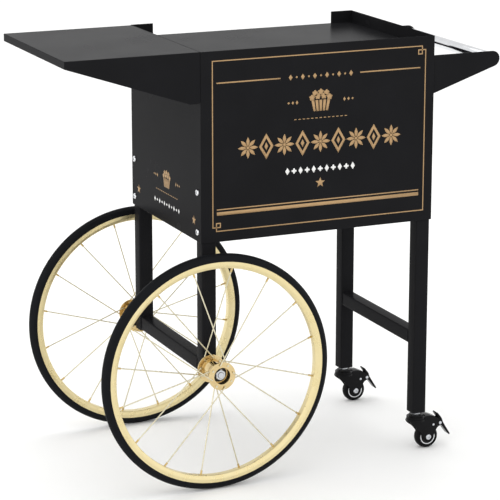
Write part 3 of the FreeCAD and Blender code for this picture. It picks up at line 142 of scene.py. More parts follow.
# finish of each slot: name, darker and lighter colour (hex, or a colour property's name), least and
# greatest roughness, patch, grain and relief in millimetres, and the shader's own even values
FINISHES = {
    # polyester powder coat, satin black, baked on sheet steel: its faint orange peel scatters most
    # of the gloss, so flat faces stay dark and only edges and low angles catch light
    "black_coat": ("satin_black_powder_coat", "coat_dark", "coat_light", (0.24, 0.28), 90, 3.2, 0.008,
                   {"IOR": 1.06}),
    # electrocoat, gloss black, on the casters' pressed steel: small bright reflections
    "caster_black": ("gloss_black_lacquer", "#0a0a0b", "#121214", (0.14, 0.20), 12, 1.6, 0.01, {"IOR": 1.2}),
    # chromium plate, buffed, on steel: mirror bright, a trace of buffing haze
    "chrome_tube": ("buffed_chrome_plate", "#c9cbce", "#e6e7e9", (0.06, 0.14), 25, 2.0, 0.004,
                    {"Metallic": 1.0}),
    # zinc plate, passivated, on steel fasteners: grey with a soft cloudy shine
    "steel_zinc": ("passivated_zinc_plate", "#b4b7bc", "#d6d8dc", (0.22, 0.34), 5, 0.8, 0.02,
                   {"Metallic": 1.0}),
    # vulcanised natural rubber, moulded: near black, matt, slightly grained
    "tyre_rubber": ("moulded_tyre_rubber", "#0c0d0f", "#17181b", (0.45, 0.6), 18, 1.4, 0.08, {"IOR": 1.16}),
    # champagne gold metallic lacquer, sprayed on the rolled rims: pale, with fine flake
    "gold_paint": ("champagne_metallic_lacquer", "rim_dark", "rim_light", (0.24, 0.34), 22, 0.9, 0.03,
                   {"Metallic": 0.75, "Coat Weight": 0.25, "Coat Roughness": 0.15}),
    # stainless steel wire, drawn: pale and fairly bright
    "spoke_steel": ("drawn_stainless_wire", "#c4bda2", "#ddd6bd", (0.22, 0.36), 9, 0.7, 0.01,
                    {"Metallic": 1.0}),
    # yellow brass, turned bright, on the spokes' nipples
    "nipple_brass": ("turned_yellow_brass", "#bfa56c", "#d6bf8a", (0.16, 0.28), 4, 0.5, 0.01,
                     {"Metallic": 1.0}),
    # nitrile rubber, moulded, on the bearing seals: black and matt
    "seal_black": ("moulded_nitrile_seal", "#0c0c0c", "#161616", (0.45, 0.6), 6, 0.6, 0.03, {"IOR": 1.52}),
    # thermoplastic rubber, injection moulded, on the caster wheels: dark and matt
    "tread_rubber": ("moulded_tread_rubber", "#0a0a0b", "#121213", (0.4, 0.55), 10, 0.9, 0.03,
                     {"IOR": 1.16}),
    "core_plastic": NYLON,
    "plug_plastic": NYLON,
    # metallic gold enamel ink, screen printed: thin, even and a little mottled
    "gold_ink": ("printed_gold_ink", "gold_dark", "gold_light", (0.42, 0.55), 16, 1.2, 0.01,
                 {"Metallic": 0.35, "IOR": 1.5}),
    # white enamel ink, screen printed: flat and even
    "white_ink": ("printed_white_ink", "#dcdcda", "#f2f2f0", (0.45, 0.55), 12, 1.2, 0.01, {"IOR": 1.5}),
}
made = {}


def finish(slot, end=None):
    """The finish of a material slot, made once; hub brass is turned about its own hub."""
    key = (slot, end) if slot == "hub_brass" else slot
    if key not in made:
        made[key] = turned_brass(end) if slot == "hub_brass" else grained(*FINISHES[slot])
    return made[key]


# ---- shapes ----

def middle_of(node):
    """Centre of a CAD node's box."""
    low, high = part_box(node)
    return (low + high) / 2


def half_size(node):
    """Half a CAD node's length along X, Y and Z."""
    return [(high - low) / 2 for low, high in zip(*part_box(node))]


def solid_boxes(node):
    """Lowest and highest corner of each separate solid of a CAD node, in order of y, z and x."""
    shape = bmesh.new()
    shape.from_mesh(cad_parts[node].data)
    bmesh.ops.remove_doubles(shape, verts=shape.verts, dist=1e-6)
    waiting, boxes = set(shape.verts), []
    while waiting:
        front, island = [waiting.pop()], []
        while front:
            vertex = front.pop()
            island.append(vertex.co.copy())
            near = {e.other_vert(vertex) for e in vertex.link_edges} & waiting
            waiting -= near
            front.extend(near)
        island = np.array(island)
        boxes.append((island.min(0), island.max(0)))
    shape.free()
    return sorted(boxes, key=lambda b: (round(b[0][1], 4), round(b[0][2], 4), round(b[0][0], 4)))


def eased(corners, radius, closed=True, steps=4):
    """Corners rounded: each gives way to a quadratic curve that starts and ends a radius away
    along its two edges, or 0.45 of an edge where that is less."""
    corners = np.array(corners, float)
    before, after = np.roll(corners, 1, 0), np.roll(corners, -1, 0)
    points = []
    for i, (a, b, c) in enumerate(zip(before, corners, after)):
        if not closed and i in (0, len(corners) - 1):
            points.append(b[None])
            continue
        back, on = np.linalg.norm(a - b), np.linalg.norm(c - b)
        start = b + (a - b) * min(radius / back, 0.45)
        end = b + (c - b) * min(radius / on, 0.45)
        t = np.linspace(0, 1, steps + 1)[:, None]
        points.append((1 - t) ** 2 * start + 2 * t * (1 - t) * b + t ** 2 * end)
    return np.concatenate(points)


def lathe(profile, centre, out=1, steps=96):
    """Rows of points for a profile of radius and distance carried round a Y axis: each point is
    at centre + (radius cos a, out x distance, radius sin a)."""
    profile = np.array(profile, float)
    a = np.arange(steps) * tau / steps
    radius, along = profile[:, 0, None], profile[:, 1, None]
    rows = np.stack([radius * np.cos(a), out * along + 0 * a, radius * np.sin(a)], 2)
    return rows + np.array(centre)


def on_axis(rows, origin, way):
    """Rows made about +Z at the world's origin, turned to a direction and moved to a point."""
    turn = np.array(Vector(way).to_track_quat("Z", "Y").to_matrix())
    return rows @ turn.T + np.array(origin)


def about_z(profile, steps=48, limit=None):
    """A profile of radius and height carried round +Z.  limit, a function of the angle, holds the
    radius in: the flats of a hexagon, for a nut or a socket."""
    profile = np.array(profile, float)
    a = np.arange(steps) * tau / steps
    radius = np.repeat(profile[:, 0, None], steps, 1)
    if limit is not None:
        radius = np.minimum(radius, limit(a))
    return np.stack([radius * np.cos(a), radius * np.sin(a), np.repeat(profile[:, 1, None], steps, 1)], 2)


def hex_flats(circumradius):
    """Radius of a hexagon at an angle: the apothem over the cosine of the angle from a flat."""
    apothem = circumradius * cos(pi / 6)
    return lambda a: apothem / np.cos((a + pi / 6) % (pi / 3) - pi / 6)


def quads(rows, columns, ring, offset=0):
    """Faces between neighbouring rows of points; columns always close, rows close in a ring."""
    last = rows if ring else rows - 1
    i, j = np.meshgrid(np.arange(last), np.arange(columns), indexing="ij")
    below, right = (i + 1) % rows, (j + 1) % columns
    corners = [i * columns + j, i * columns + right, below * columns + right, below * columns + j]
    return np.stack(corners, -1).reshape(-1, 4) + offset


def build(name, parts, body, slot, stands_for=(), sharp=35.0):
    """One piece from parts, each (rows of points, whether its rows close in a ring).  Open ends
    are closed with a cap, doubled points merged, and faces turned outwards."""
    shape = bmesh.new()
    mesh = bpy.data.meshes.new(name)
    points, faces, count = [], [], 0
    for rows, ring in parts:
        depth, columns = rows.shape[:2]
        points.append(rows.reshape(-1, 3))
        faces += quads(depth, columns, ring, count).tolist()
        if not ring:
            faces.append((count + np.arange(columns)[::-1]).tolist())
            faces.append((count + (depth - 1) * columns + np.arange(columns)).tolist())
        count += depth * columns
    mesh.from_pydata(np.concatenate(points), [], faces)
    shape.from_mesh(mesh)
    bmesh.ops.remove_doubles(shape, verts=shape.verts, dist=2e-6)
    bmesh.ops.dissolve_degenerate(shape, edges=shape.edges, dist=2e-6)
    bmesh.ops.recalc_face_normals(shape, faces=shape.faces)
    shape.to_mesh(mesh)
    shape.free()
    place(name, mesh, body, slot, stands_for, sharp)


def place(name, mesh, body, slot, stands_for=(), sharp=35.0, material=None):
    """Put a mesh into the scene as a piece that rides on a body and may stand for CAD nodes.  It
    has its slot's finish if no other is given."""
    mesh.shade_smooth()
    mesh.set_sharp_from_angle(angle=radians(sharp))
    mesh.materials.clear()
    mesh.materials.append(material or finish(slot))
    piece = bpy.data.objects.new(name, mesh)
    bpy.context.scene.collection.objects.link(piece)
    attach(piece, body)
    if stands_for:
        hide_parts(*stands_for)
    return piece


def softened(node, radius, body, slot, every_edge=False, end=None):
    """A CAD node's own shape with its folds rounded: every sharp edge, or only those along the
    edges of its box, which on folded sheet are the outer folds."""
    shape = bmesh.new()
    shape.from_mesh(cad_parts[node].data)
    bmesh.ops.remove_doubles(shape, verts=shape.verts, dist=1e-6)
    bmesh.ops.dissolve_limit(shape, angle_limit=radians(0.5), verts=shape.verts, edges=shape.edges)
    walls = [(axis, corner[axis]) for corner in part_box(node) for axis in range(3)]
    weight = shape.edges.layers.float.new("bevel_weight_edge")
    for edge in shape.edges:
        touched = sum(all(abs(v.co[axis] - at) < 1e-5 for v in edge.verts) for axis, at in walls)
        sharp = edge.calc_face_angle(0) > radians(35)
        edge[weight] = 1.0 if sharp and (every_edge or touched >= 2) else 0.0
    mesh = bpy.data.meshes.new(node + "_surface")
    shape.to_mesh(mesh)
    shape.free()
    piece = place(node + "_surface", mesh, body, slot, [node], material=finish(slot, end))
    fold = piece.modifiers.new("Folds", "BEVEL")
    fold.width = radius
    fold.segments = 3
    fold.limit_method = "WEIGHT"
    fold.harden_normals = True
    return piece


def square_tube(low, high, along, corner, wall):
    """Rows of a square tube with rounded corners: outer outline at both ends, then the inner."""
    across = [axis for axis in range(3) if axis != along]
    centre, half = (low + high) / 2, (high - low) / 2

    def outline(shrink, radius, at):
        a, b = half[across[0]] - shrink, half[across[1]] - shrink
        flat = eased([(-a, -b), (a, -b), (a, b), (-a, b)], radius, steps=5)
        points = np.tile(centre, (len(flat), 1))
        points[:, across] += flat
        points[:, along] = at
        return points

    inner = corner - wall
    return np.stack([outline(0, corner, low[along]), outline(0, corner, high[along]),
                     outline(wall, inner, high[along]), outline(wall, inner, low[along])])


# ---- stage ----

def studio_stage(sizes):
    """White floor, white surroundings with a darker wall behind the cart, a broad softbox overhead,
    an upright strip light on the left, and the camera."""
    mesh = bpy.data.meshes.new("studio_floor")
    corners = np.array([(-1, -1, 0), (1, -1, 0), (1, 1, 0), (-1, 1, 0)]) * sizes.floor_half
    mesh.from_pydata(corners, [], [(0, 1, 2, 3)])
    floor = bpy.data.objects.new("studio_floor", mesh)
    bpy.context.scene.collection.objects.link(floor)
    # matt white paint, rolled on the floor: even, with hardly any sheen
    mesh.materials.append(grained("matt_white_floor", "#f3f3f2", "#fbfbfa", (0.7, 0.8), 400, 6, 0.02,
                                  {"Specular IOR Level": 0.1}))

    world = bpy.data.worlds.new("pale_studio")
    bpy.context.scene.world = world
    world.use_nodes = True
    tree = world.node_tree
    tree.nodes.clear()
    # a darker wall behind the cart: full within 35 degrees of its direction, gone by 75 degrees
    wall = (0.4, 0.91, 0.08)
    way = add(tree, "ShaderNodeTexCoord").outputs["Generated"]
    facing = add(tree, "ShaderNodeVectorMath", {0: way, 1: wall}, operation="DOT_PRODUCT")
    strength = add(tree, "ShaderNodeMapRange", {
        "Value": facing.outputs["Value"], "From Min": cos(radians(35)), "From Max": cos(radians(75)),
        "To Min": sizes.wall_light, "To Max": sizes.room_light})
    sky = add(tree, "ShaderNodeBackground", {"Color": srgb("#ffffff"), "Strength": strength.outputs[0]})
    add(tree, "ShaderNodeOutputWorld", {"Surface": sky.outputs[0]})

    for name, wide, high, energy, spot, aim in (
            ("overhead_softbox", 2.4, 2.4, sizes.overhead_light, (0.2, 1.2, 3.0), (0.0, 0.0, 0.6)),
            ("left_strip", 0.35, 1.3, sizes.left_light, (-2.8, -0.1, 0.66), (-0.2, -0.1, 0.6))):
        lamp = bpy.data.lights.new(name, "AREA")
        lamp.shape = "RECTANGLE"
        lamp.size = wide
        lamp.size_y = high
        lamp.energy = energy
        light = bpy.data.objects.new(name, lamp)
        light.location = spot
        light.rotation_euler = (Vector(aim) - Vector(spot)).to_track_quat("-Z", "Y").to_euler()
        bpy.context.scene.collection.objects.link(light)

    # plain display of the colours as set, so that white stays white
    bpy.context.scene.view_settings.view_transform = "Standard"

    lens = bpy.data.cameras.new("studio_camera")
    lens.sensor_width = 36.0
    lens.lens = sizes.lens
    lens.shift_x = 0.0074
    lens.shift_y = -0.0054
    lens.clip_end = 60
    camera = bpy.data.objects.new("studio_camera", lens)
    camera.location = (-1.842, -4.1626, 1.5958)
    camera.rotation_euler = (radians(75.60), 0, radians(-23.71))
    bpy.context.scene.collection.objects.link(camera)
    bpy.context.scene.camera = camera


# ---- cabinet, shelf and handle ----

def folded_sheets(nodes, sizes):
    """Coated sheet pieces with their outer folds rounded."""
    for node in nodes:
        softened(node, sizes.fold_radius, "cart", "black_coat")


def leg_surfaces(sizes):
    """Legs and crossbars: square tube with rounded corners, and a weld bead round each joint."""
    tubes = [(f"{end}_{side}_leg", 2) for end, _ in ENDS for side in ("left", "right")]
    tubes += [("axle_crossbar", 1), ("caster_crossbar", 1)]
    for node, along in tubes:
        low, high = (np.array(corner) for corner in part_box(node))
        rows = square_tube(low, high, along, sizes.tube_corner, sizes.tube_wall)
        build(node + "_surface", [(rows, True)], "cart", "black_coat", [node])
    for node in ("axle_crossbar", "caster_crossbar"):
        low, high = (np.array(corner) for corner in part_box(node))
        beads = [(weld_bead(low, high, at, sizes), True) for at in (low[1], high[1])]
        build(node + "_welds", beads, "cart", "black_coat", sharp=60)


def weld_bead(low, high, at, sizes):
    """A round bead carried round a square tube's end: its radius swells and shrinks by a fifth, in
    ripples spaced like the puddles of a hand weld."""
    half = (high[0] - low[0]) / 2 + 0.2 * sizes.weld_radius
    square = [(-half, -half), (half, -half), (half, half), (-half, half)]
    corners = eased(square, sizes.tube_corner, steps=6)
    route = np.concatenate([np.linspace(a, b, 8, endpoint=False) for a, b in
                            zip(corners, np.roll(corners, -1, 0)) if np.linalg.norm(a - b) > MM])
    turn = np.arange(10) * tau / 10
    outward = route / np.linalg.norm(route, axis=1)[:, None]
    walked = np.arange(len(route)) * tau / 3
    radius = sizes.weld_radius * (1 + 0.2 * np.sin(walked))[:, None]
    inward = -1 if at > (low[1] + high[1]) / 2 else 1
    x = (low[0] + high[0]) / 2 + route[:, 0, None] + radius * np.cos(turn) * outward[:, 0, None]
    z = (low[2] + high[2]) / 2 + route[:, 1, None] + radius * np.cos(turn) * outward[:, 1, None]
    y = at + inward * 0.3 * sizes.weld_radius + radius * np.sin(turn) + 0 * x
    return np.stack([x, y, z], 2)


def handle_surfaces(sizes):
    """Brackets with rounded folds, and the tube: its wall's section carried round its own axis."""
    for end, _ in ENDS:
        softened(f"{end}_handle_bracket", sizes.fold_radius, "cart", "black_coat", every_edge=True)
    _, half, radius = half_size("handle_tube")
    bore = radius - sizes.tube_wall
    profile = [(radius, -half), (radius, half), (bore, half), (bore, -half)]
    rows = lathe(eased(profile, 0.4 * MM), middle_of("handle_tube"), steps=72)
    build("handle_tube_surface", [(rows, True)], "cart", "chrome_tube", ["handle_tube"])


# ---- doors ----

def door_surfaces(sizes):
    """Doors with rounded folds, turned knobs with a waist, and countersunk screws in the hinges."""
    for side in ("left", "right"):
        softened(f"{side}_door", sizes.fold_radius, f"{side}_door", "black_coat")
        low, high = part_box(f"{side}_knob")
        radius = (high.z - low.z) / 2
        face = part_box(f"{side}_door")[1].y
        reach, stud = high.y - face, low.y - face
        waist = np.array([(0.62, 0), (0.58, 0.12), (0.42, 0.35), (0.6, 0.52), (1, 0.66), (1, 0.82),
                          (0.8, 0.96), (0.3, 1), (0, 1)]) * (radius, reach)
        profile = np.concatenate([[(0, stud), (2 * MM, stud), (2 * MM, 0)], waist])
        centre = ((low.x + high.x) / 2, face, (low.z + high.z) / 2)
        rows = lathe(eased(profile, 1.6 * MM, closed=False), centre)
        build(f"{side}_knob_surface", [(rows, False)], f"{side}_door", "chrome_tube", [f"{side}_knob"])
    hinge_screws("left_hinge_leaves", "left_door")
    hinge_screws("right_hinge_leaves", "right_door")
    hinge_screws("hinge_frame_leaves", "cart")


def hinge_screws(node, body):
    """Two raised countersunk heads on each hinge leaf, at a fifth and four fifths of its height,
    0.65 of the way from the hinge's axis to the leaf's free edge."""
    parts = []
    leaf = 1.2 * MM  # thickness of a leaf, whose back lies on the sheet
    axes = [box[0][0] / 2 + box[1][0] / 2 for box in solid_boxes("hinge_pins")]
    for low, high in solid_boxes(node):
        axis = min(axes, key=lambda x: min(abs(x - low[0]), abs(x - high[0])))
        far = low[0] if abs(low[0] - axis) > abs(high[0] - axis) else high[0]
        x = axis + 0.65 * (far - axis)
        for share in (0.2, 0.8):
            z = low[2] + share * (high[2] - low[2])
            parts.append((screw_head((x, low[1] + leaf, z), (0, 1, 0), 3.2 * MM, 0.8 * MM), False))
    build(node + "_screws", parts, body, "steel_zinc")


def screw_head(base, way, radius, height):
    """A low domed head with a hexagon socket: rings from the socket's floor up its flats, over the
    dome and down to the seat."""
    socket = 0.5 * radius
    flats = hex_flats(socket)
    floor = about_z([(0, 0.35 * height), (socket, 0.35 * height)], limit=flats)
    mouth = about_z([(socket, 0.97 * height)], limit=flats)
    t = np.linspace(0, 1, 6)
    dome = about_z(np.stack([radius * (0.62 + 0.38 * np.sin(t * pi / 2)),
                             height * (0.22 + 0.78 * np.cos(t * pi / 2))], 1))
    seat = about_z([(radius, 0), (0, 0)])
    return on_axis(np.concatenate([floor, mouth, dome, seat]), base, way)


# ---- fasteners ----

def fastener_surfaces(sizes):
    """Bolts and screws along X: domed heads with hexagon sockets on plain shanks, and nuts."""
    centre = middle_of("front_panel").x
    for node, slot, head in (("leg_bolts", "chrome_tube", sizes.bolt_head),
                             ("handle_screws", "steel_zinc", sizes.screw_head),
                             ("shelf_screws", "steel_zinc", sizes.screw_head)):
        parts = []
        for low, high in solid_boxes(node):
            middle, length = (low + high) / 2, high[0] - low[0]
            radius = (high[2] - low[2]) / 2
            outward = 1 if middle[0] > centre else -1
            tip = high[0] if outward > 0 else low[0]
            # the short solids are nuts; the others are bolts or screws
            if length < 2.2 * head:
                start = (low[0], middle[1], middle[2])
                parts.append((hex_nut(start, (1, 0, 0), radius, 0.54 * radius, length), True))
                continue
            seat = (tip - outward * head, middle[1], middle[2])
            parts.append((screw_head(seat, (outward, 0, 0), radius, head), False))
            shank = 0.46 * radius if node == "leg_bolts" else 0.55 * radius
            plain = length - head
            rod = about_z([(0, 0), (0.85 * shank, 0), (shank, 0.3 * shank), (shank, plain), (0, plain)])
            start = (tip - outward * length, middle[1], middle[2])
            parts.append((on_axis(rod, start, (outward, 0, 0)), False))
        build(node + "_surface", parts, "cart", slot, [node])
    nuts = [(hex_nut((low[0], (low[1] + high[1]) / 2, (low[2] + high[2]) / 2), (1, 0, 0),
                     max(high[1] - low[1], high[2] - low[2]) / 2, 3 * MM, high[0] - low[0]), True)
            for low, high in solid_boxes("leg_nuts")]
    build("leg_nuts_surface", nuts, "cart", "steel_zinc", ["leg_nuts"])


def hex_nut(start, way, circumradius, bore, height):
    """A hexagon nut with chamfered corners: near each face the flats are cut by a cone, which
    leaves the round edge of a turned nut."""
    flats = hex_flats(circumradius)
    apothem = circumradius * cos(pi / 6)
    rise = (circumradius - apothem) * 0.6
    bevel = 0.12 * bore
    profile = [(bore + bevel, 0), (apothem * 0.97, 0), (apothem * 1.05, 0.35 * rise), (circumradius, rise),
               (circumradius, height - rise), (apothem * 1.05, height - 0.35 * rise),
               (apothem * 0.97, height), (bore + bevel, height), (bore, height - bevel), (bore, bevel)]
    return on_axis(about_z(profile, steps=72, limit=flats), start, way)


# ---- wheels ----

def wheel_surfaces(sizes):
    """Tyre and rim: sections carried round the wheel's axis; and the hub with its edges rounded."""
    sections = (("tyre", tyre_profile, "tyre_rubber"), ("rim", rim_profile, "gold_paint"))
    for end, out in ENDS:
        for part, section, slot in sections:
            _, half, radius = half_size(f"{end}_{part}")
            rows = lathe(section(radius, half, sizes), middle_of(f"{end}_tyre"), out, 288)
            build(f"{end}_{part}_surface", [(rows, True)], f"{end}_wheel", slot, [f"{end}_{part}"])
        softened(f"{end}_hub", 0.5 * MM, f"{end}_wheel", "hub_brass", every_edge=True, end=end)


def tyre_profile(radius, half, sizes):
    """Section of a solid tyre: a circle of the half width that reaches the tyre's radius, with
    grooves cut as narrow bells, and a foot that goes down into the rim."""
    ring = radius - half
    angle = np.radians(np.linspace(-104, 104, 105))
    depth = sum(np.exp(-((angle - radians(at)) / radians(2.6)) ** 2) for at in (-34, -17, 17, 34))
    section = half - sizes.groove_depth * depth
    round_part = np.stack([ring + section * np.cos(angle), section * np.sin(angle)], 1)
    foot = np.array([(ring - 4 * MM, 0.74 * half), (ring - 9 * MM, 0.5 * half),
                     (ring - 9 * MM, -0.5 * half), (ring - 4 * MM, -0.74 * half)])
    return np.concatenate([round_part, foot])


def rim_profile(radius, half, sizes):
    """Section of the rolled channel: edges, sides, a shoulder and the floor, then back inside one
    sheet thickness in."""
    sheet = sizes.rim_sheet
    turn, floor = radius - 9 * MM, radius - 16 * MM
    shoulder, flat = half - 0.5 * MM, half - 4 * MM
    outside = [(radius, half), (turn, shoulder), (floor, flat),
               (floor, -flat), (turn, -shoulder), (radius, -half)]
    inside = [(radius, sheet - half), (turn + 0.5 * MM, sheet - shoulder), (floor + sheet, 1 * MM - flat),
              (floor + sheet, flat - 1 * MM), (turn + 0.5 * MM, shoulder - sheet), (radius, half - sheet)]
    return eased(outside + inside, 1.6 * MM, steps=5)


def axle_surfaces():
    """Axle with chamfered ends, and the washer and chamfered nut in each hub's recess."""
    softened("wheel_axle", 0.8 * MM, "cart", "steel_zinc", every_edge=True)
    parts = []
    bore = half_size("wheel_axle")[2]
    for low, high in solid_boxes("axle_nuts"):
        start = ((low[0] + high[0]) / 2, low[1], (low[2] + high[2]) / 2)
        radius, height = (high[0] - low[0]) / 2, high[1] - low[1]
        if height > 2 * MM:
            parts.append((hex_nut(start, (0, 1, 0), radius, bore, height), True))
        else:
            washer = [(bore, 0), (radius, 0), (radius, height), (bore, height)]
            parts.append((on_axis(about_z(eased(washer, 0.3 * MM)), start, (0, 1, 0)), True))
    build("axle_nuts_surface", parts, "cart", "steel_zinc", ["axle_nuts"])


# ---- casters ----

# side outlines in millimetres: along the caster from its swivel axis, and up from the floor
CHEEK_SIDE = ((-19, 64), (-17, 57), (-2, 46), (7, 34), (13, 20), (20, 15), (28, 15), (35, 20),
              (39, 32), (45, 44), (54, 48), (56.5, 54), (53, 58), (44, 66), (30, 72), (0, 72))
WEB_SIDE = ((6.5, 61), (50, 61), (44, 66), (30, 72), (6.5, 72))
PEDAL_SIDE = ((44, 73), (47, 75), (58, 61), (60, 53), (78, 24), (75.5, 22), (57, 46),
              (50, 48), (47, 51), (47.5, 57), (52, 60))
# swivel head's section round the stem: radius and height from the floor
HEAD_SECTION = ((5.2, 62.5), (20.5, 62.5), (20.5, 67), (19, 67), (19, 68), (20, 68), (20, 72),
                (15.5, 72), (15.5, 76), (5.2, 76))


def side_plate(corners, ease, swivel, low, high, edge):
    """A plate with a rounded side outline, from low to high across Y.  Near both faces the outline
    is drawn in by edge (1 - sin t) at a depth of edge (1 - cos t), a quarter round in four steps."""
    flat = eased(np.array(corners, float) * MM, ease, steps=6)
    rows = []
    for t in np.radians((0, 30, 60, 90)):
        lines = band(flat, 2 * edge * (1 - sin(t)) + 1e-9)
        rows.append((min(lines, key=lambda line: np.ptp(line[:, 0])), edge * (1 - cos(t))))
    across = [(line, low + depth) for line, depth in rows]
    across += [(line, high - depth) for line, depth in rows[::-1]]
    return np.stack([np.stack([swivel + line[:, 0], np.full(len(line), y), line[:, 1]], 1)
                     for line, y in across])


def caster_yoke(name, sizes):
    """Pressed yoke: two cheeks, a sloping web between them behind the stem, and the swivel head, a
    stack of rings about the stem."""
    low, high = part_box(f"{name}_yoke")
    bolt_low, bolt_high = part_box(f"{name}_bolt")
    head = (high.y - low.y) / 2
    swivel, middle = low.x + head, (low.y + high.y) / 2
    front, back = bolt_low.y + sizes.caster_head, bolt_high.y - sizes.caster_nut
    sheet = sizes.yoke_sheet
    section = eased(np.array(HEAD_SECTION) * MM, 0.7 * MM)
    web = front + 0.5 * sheet, back - 0.5 * sheet
    parts = [(side_plate(CHEEK_SIDE, 6 * MM, swivel, front, front + sheet, 0.8 * MM), False),
             (side_plate(CHEEK_SIDE, 6 * MM, swivel, back - sheet, back, 0.8 * MM), False),
             (side_plate(WEB_SIDE, 3 * MM, swivel, *web, 0.4 * MM), False),
             (about_z(section, steps=72) + (swivel, middle, 0), True)]
    build(f"{name}_yoke_surface", parts, f"{name}_fork", "caster_black", [f"{name}_yoke"])


def brake_pedal(end):
    """Pressed brake lever: a tab above its pin and a longer tab below it."""
    node = f"{end}_caster_brake_pedal"
    low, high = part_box(node)
    swivel = low.x - min(x for x, _ in PEDAL_SIDE) * MM
    rows = side_plate(PEDAL_SIDE, 4 * MM, swivel, low.y, high.y, 0.6 * MM)
    build(node + "_surface", [(rows, False)], f"{end}_brake_pedal", "caster_black", [node])


def caster_surfaces(sizes):
    """Both casters: pressed yoke and pedal, and wheels whose tread, core and trim rings are
    sections carried round the wheel's axis, with their bolts and rivets."""
    for end, _ in ENDS:
        name = f"{end}_caster"
        caster_yoke(name, sizes)
        brake_pedal(end)
        centre = middle_of(f"{name}_tread")
        _, half, radius = half_size(f"{name}_tread")
        core = half_size(f"{name}_core")[2]
        tread = [(core, -half), (radius - 2.2 * MM, -half), (radius, 0.45 * -half), (radius, 0.45 * half),
                 (radius - 2.2 * MM, half), (core, half)]
        build(f"{name}_tread_surface", [(lathe(eased(tread, 2.4 * MM), centre), True)],
              f"{name}_wheel", "tread_rubber", [f"{name}_tread"])
        wheel_core(name, centre, core, half)
        ring = [(core - 1.2 * MM, half - 0.5 * MM), (core - 1.2 * MM, half + 0.2 * MM),
                (core - 3.4 * MM, half + 0.2 * MM), (core - 3.4 * MM, half - 0.5 * MM)]
        rings = [(lathe(eased(ring, 0.3 * MM), centre, side), True) for side in (-1, 1)]
        build(f"{name}_trim_rings", rings, f"{name}_wheel", "chrome_tube")
        caster_bolt(name, centre, sizes)
        caster_rivets(name, sizes)


def wheel_core(name, centre, radius, half):
    """Dished nylon core: a rim, a sloping web and a boss round the bolt, the same on both sides."""
    side = [(radius, half), (radius - 3 * MM, half), (radius - 5 * MM, half - 2.4 * MM),
            (9 * MM, half - 2.4 * MM), (7.5 * MM, half - 0.2 * MM), (4.1 * MM, half - 0.2 * MM)]
    other = [(r, -y) for r, y in reversed(side)]
    build(f"{name}_core_surface", [(lathe(eased(side + other, 0.8 * MM), centre), True)],
          f"{name}_wheel", "core_plastic", [f"{name}_core"])


def caster_rivets(name, sizes):
    """A domed rivet on each cheek and a domed head on each end of the pedal's pin: as t runs over a
    quarter turn, a dome's rings are at radius sin t and height cos t."""
    pin_low, pin_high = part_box(f"{name}_pedal_pin")
    pin = (pin_low + pin_high) / 2
    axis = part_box(f"{name}_bolt")
    cheeks = (axis[0].y + sizes.caster_head, axis[1].y - sizes.caster_nut)
    # x, z, radius, height and stand-off; the rivet is 15.7 mm nearer the stem and 2 mm lower than the pin
    spots = ((pin.x - 15.7 * MM, pin.z - 2 * MM, 2.6 * MM, 1.3 * MM, 0.0),
             (pin.x, pin.z, 3.1 * MM, 0.9 * MM, pin_high.y - cheeks[1]))
    t = np.linspace(0, pi / 2, 7)
    parts = []
    for x, z, radius, height, base in spots:
        dome = about_z(np.stack([radius * np.sin(t), height * np.cos(t)], 1), steps=32)
        seat = about_z([(radius, -0.4 * MM), (0, -0.4 * MM)], steps=32)
        head = np.concatenate([dome, seat])
        for way, cheek in zip((-1, 1), cheeks):
            parts.append((on_axis(head, (x, cheek + way * base, z), (0, way, 0)), False))
    build(f"{name}_rivets", parts, f"{name}_fork", "steel_zinc")


def caster_bolt(name, centre, sizes):
    """Bolt across the fork: a domed head at the front and a chamfered nut at the back."""
    low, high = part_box(f"{name}_bolt")
    # the fork's cheeks end where the bolt's head and nut begin
    head, nut = sizes.caster_head, sizes.caster_nut
    radius = (high.z - low.z) / 2
    front, back = low.y + head, high.y - nut
    shank = on_axis(about_z([(0, 0), (4 * MM, 0), (4 * MM, back - front), (0, back - front)]),
                    (centre.x, front, centre.z), (0, 1, 0))
    parts = [(shank, False),
             (screw_head((centre.x, front, centre.z), (0, -1, 0), radius, head), False),
             (hex_nut((centre.x, back, centre.z), (0, 1, 0), radius, 3.2 * MM, nut), True)]
    build(f"{name}_bolt_surface", parts, f"{name}_fork", "steel_zinc", [f"{name}_bolt"])


# ---- printed decoration ----

def bar(left, top, right, bottom):
    """Rectangle between two corners."""
    return np.array([(left, top), (right, top), (right, bottom), (left, bottom)], float)


def lozenge(x, y, width, height):
    """Diamond about a point."""
    return np.array([(x + width / 2, y), (x, y + height / 2), (x - width / 2, y), (x, y - height / 2)])


def petal_ring(x, y, radius, petals, waist, steps=96):
    """Closed outline whose radius swings between waist x radius and the radius once a petal:
    radius x (waist + (1 - waist) |cos(petals a / 2)|)."""
    a = np.arange(steps) * tau / steps
    reach = radius * (waist + (1 - waist) * np.abs(np.cos(petals * a / 2)))
    return np.stack([x + reach * np.sin(a), y - reach * np.cos(a)], 1)


def star(x, y, radius):
    """Star with five points, one up: ten corners take turns on two circles."""
    a = np.arange(10) * pi / 5
    reach = np.where(np.arange(10) % 2 == 0, radius, 0.42 * radius)
    return np.stack([x + reach * np.sin(a), y - reach * np.cos(a)], 1)


def leaf(x, y, length, width, angle, steps=20):
    """Pointed leaf: half width x sin(pi t) each side of its midrib as t runs along it."""
    t = np.linspace(0, 1, steps)
    side = 0.5 * width * np.sin(pi * t)
    outline = np.concatenate([np.stack([length * (t - 0.5), side], 1),
                              np.stack([length * (0.5 - t), -side], 1)[1:-1]])
    turn = np.array([(cos(angle), sin(angle)), (-sin(angle), cos(angle))])
    return outline @ turn + (x, y)


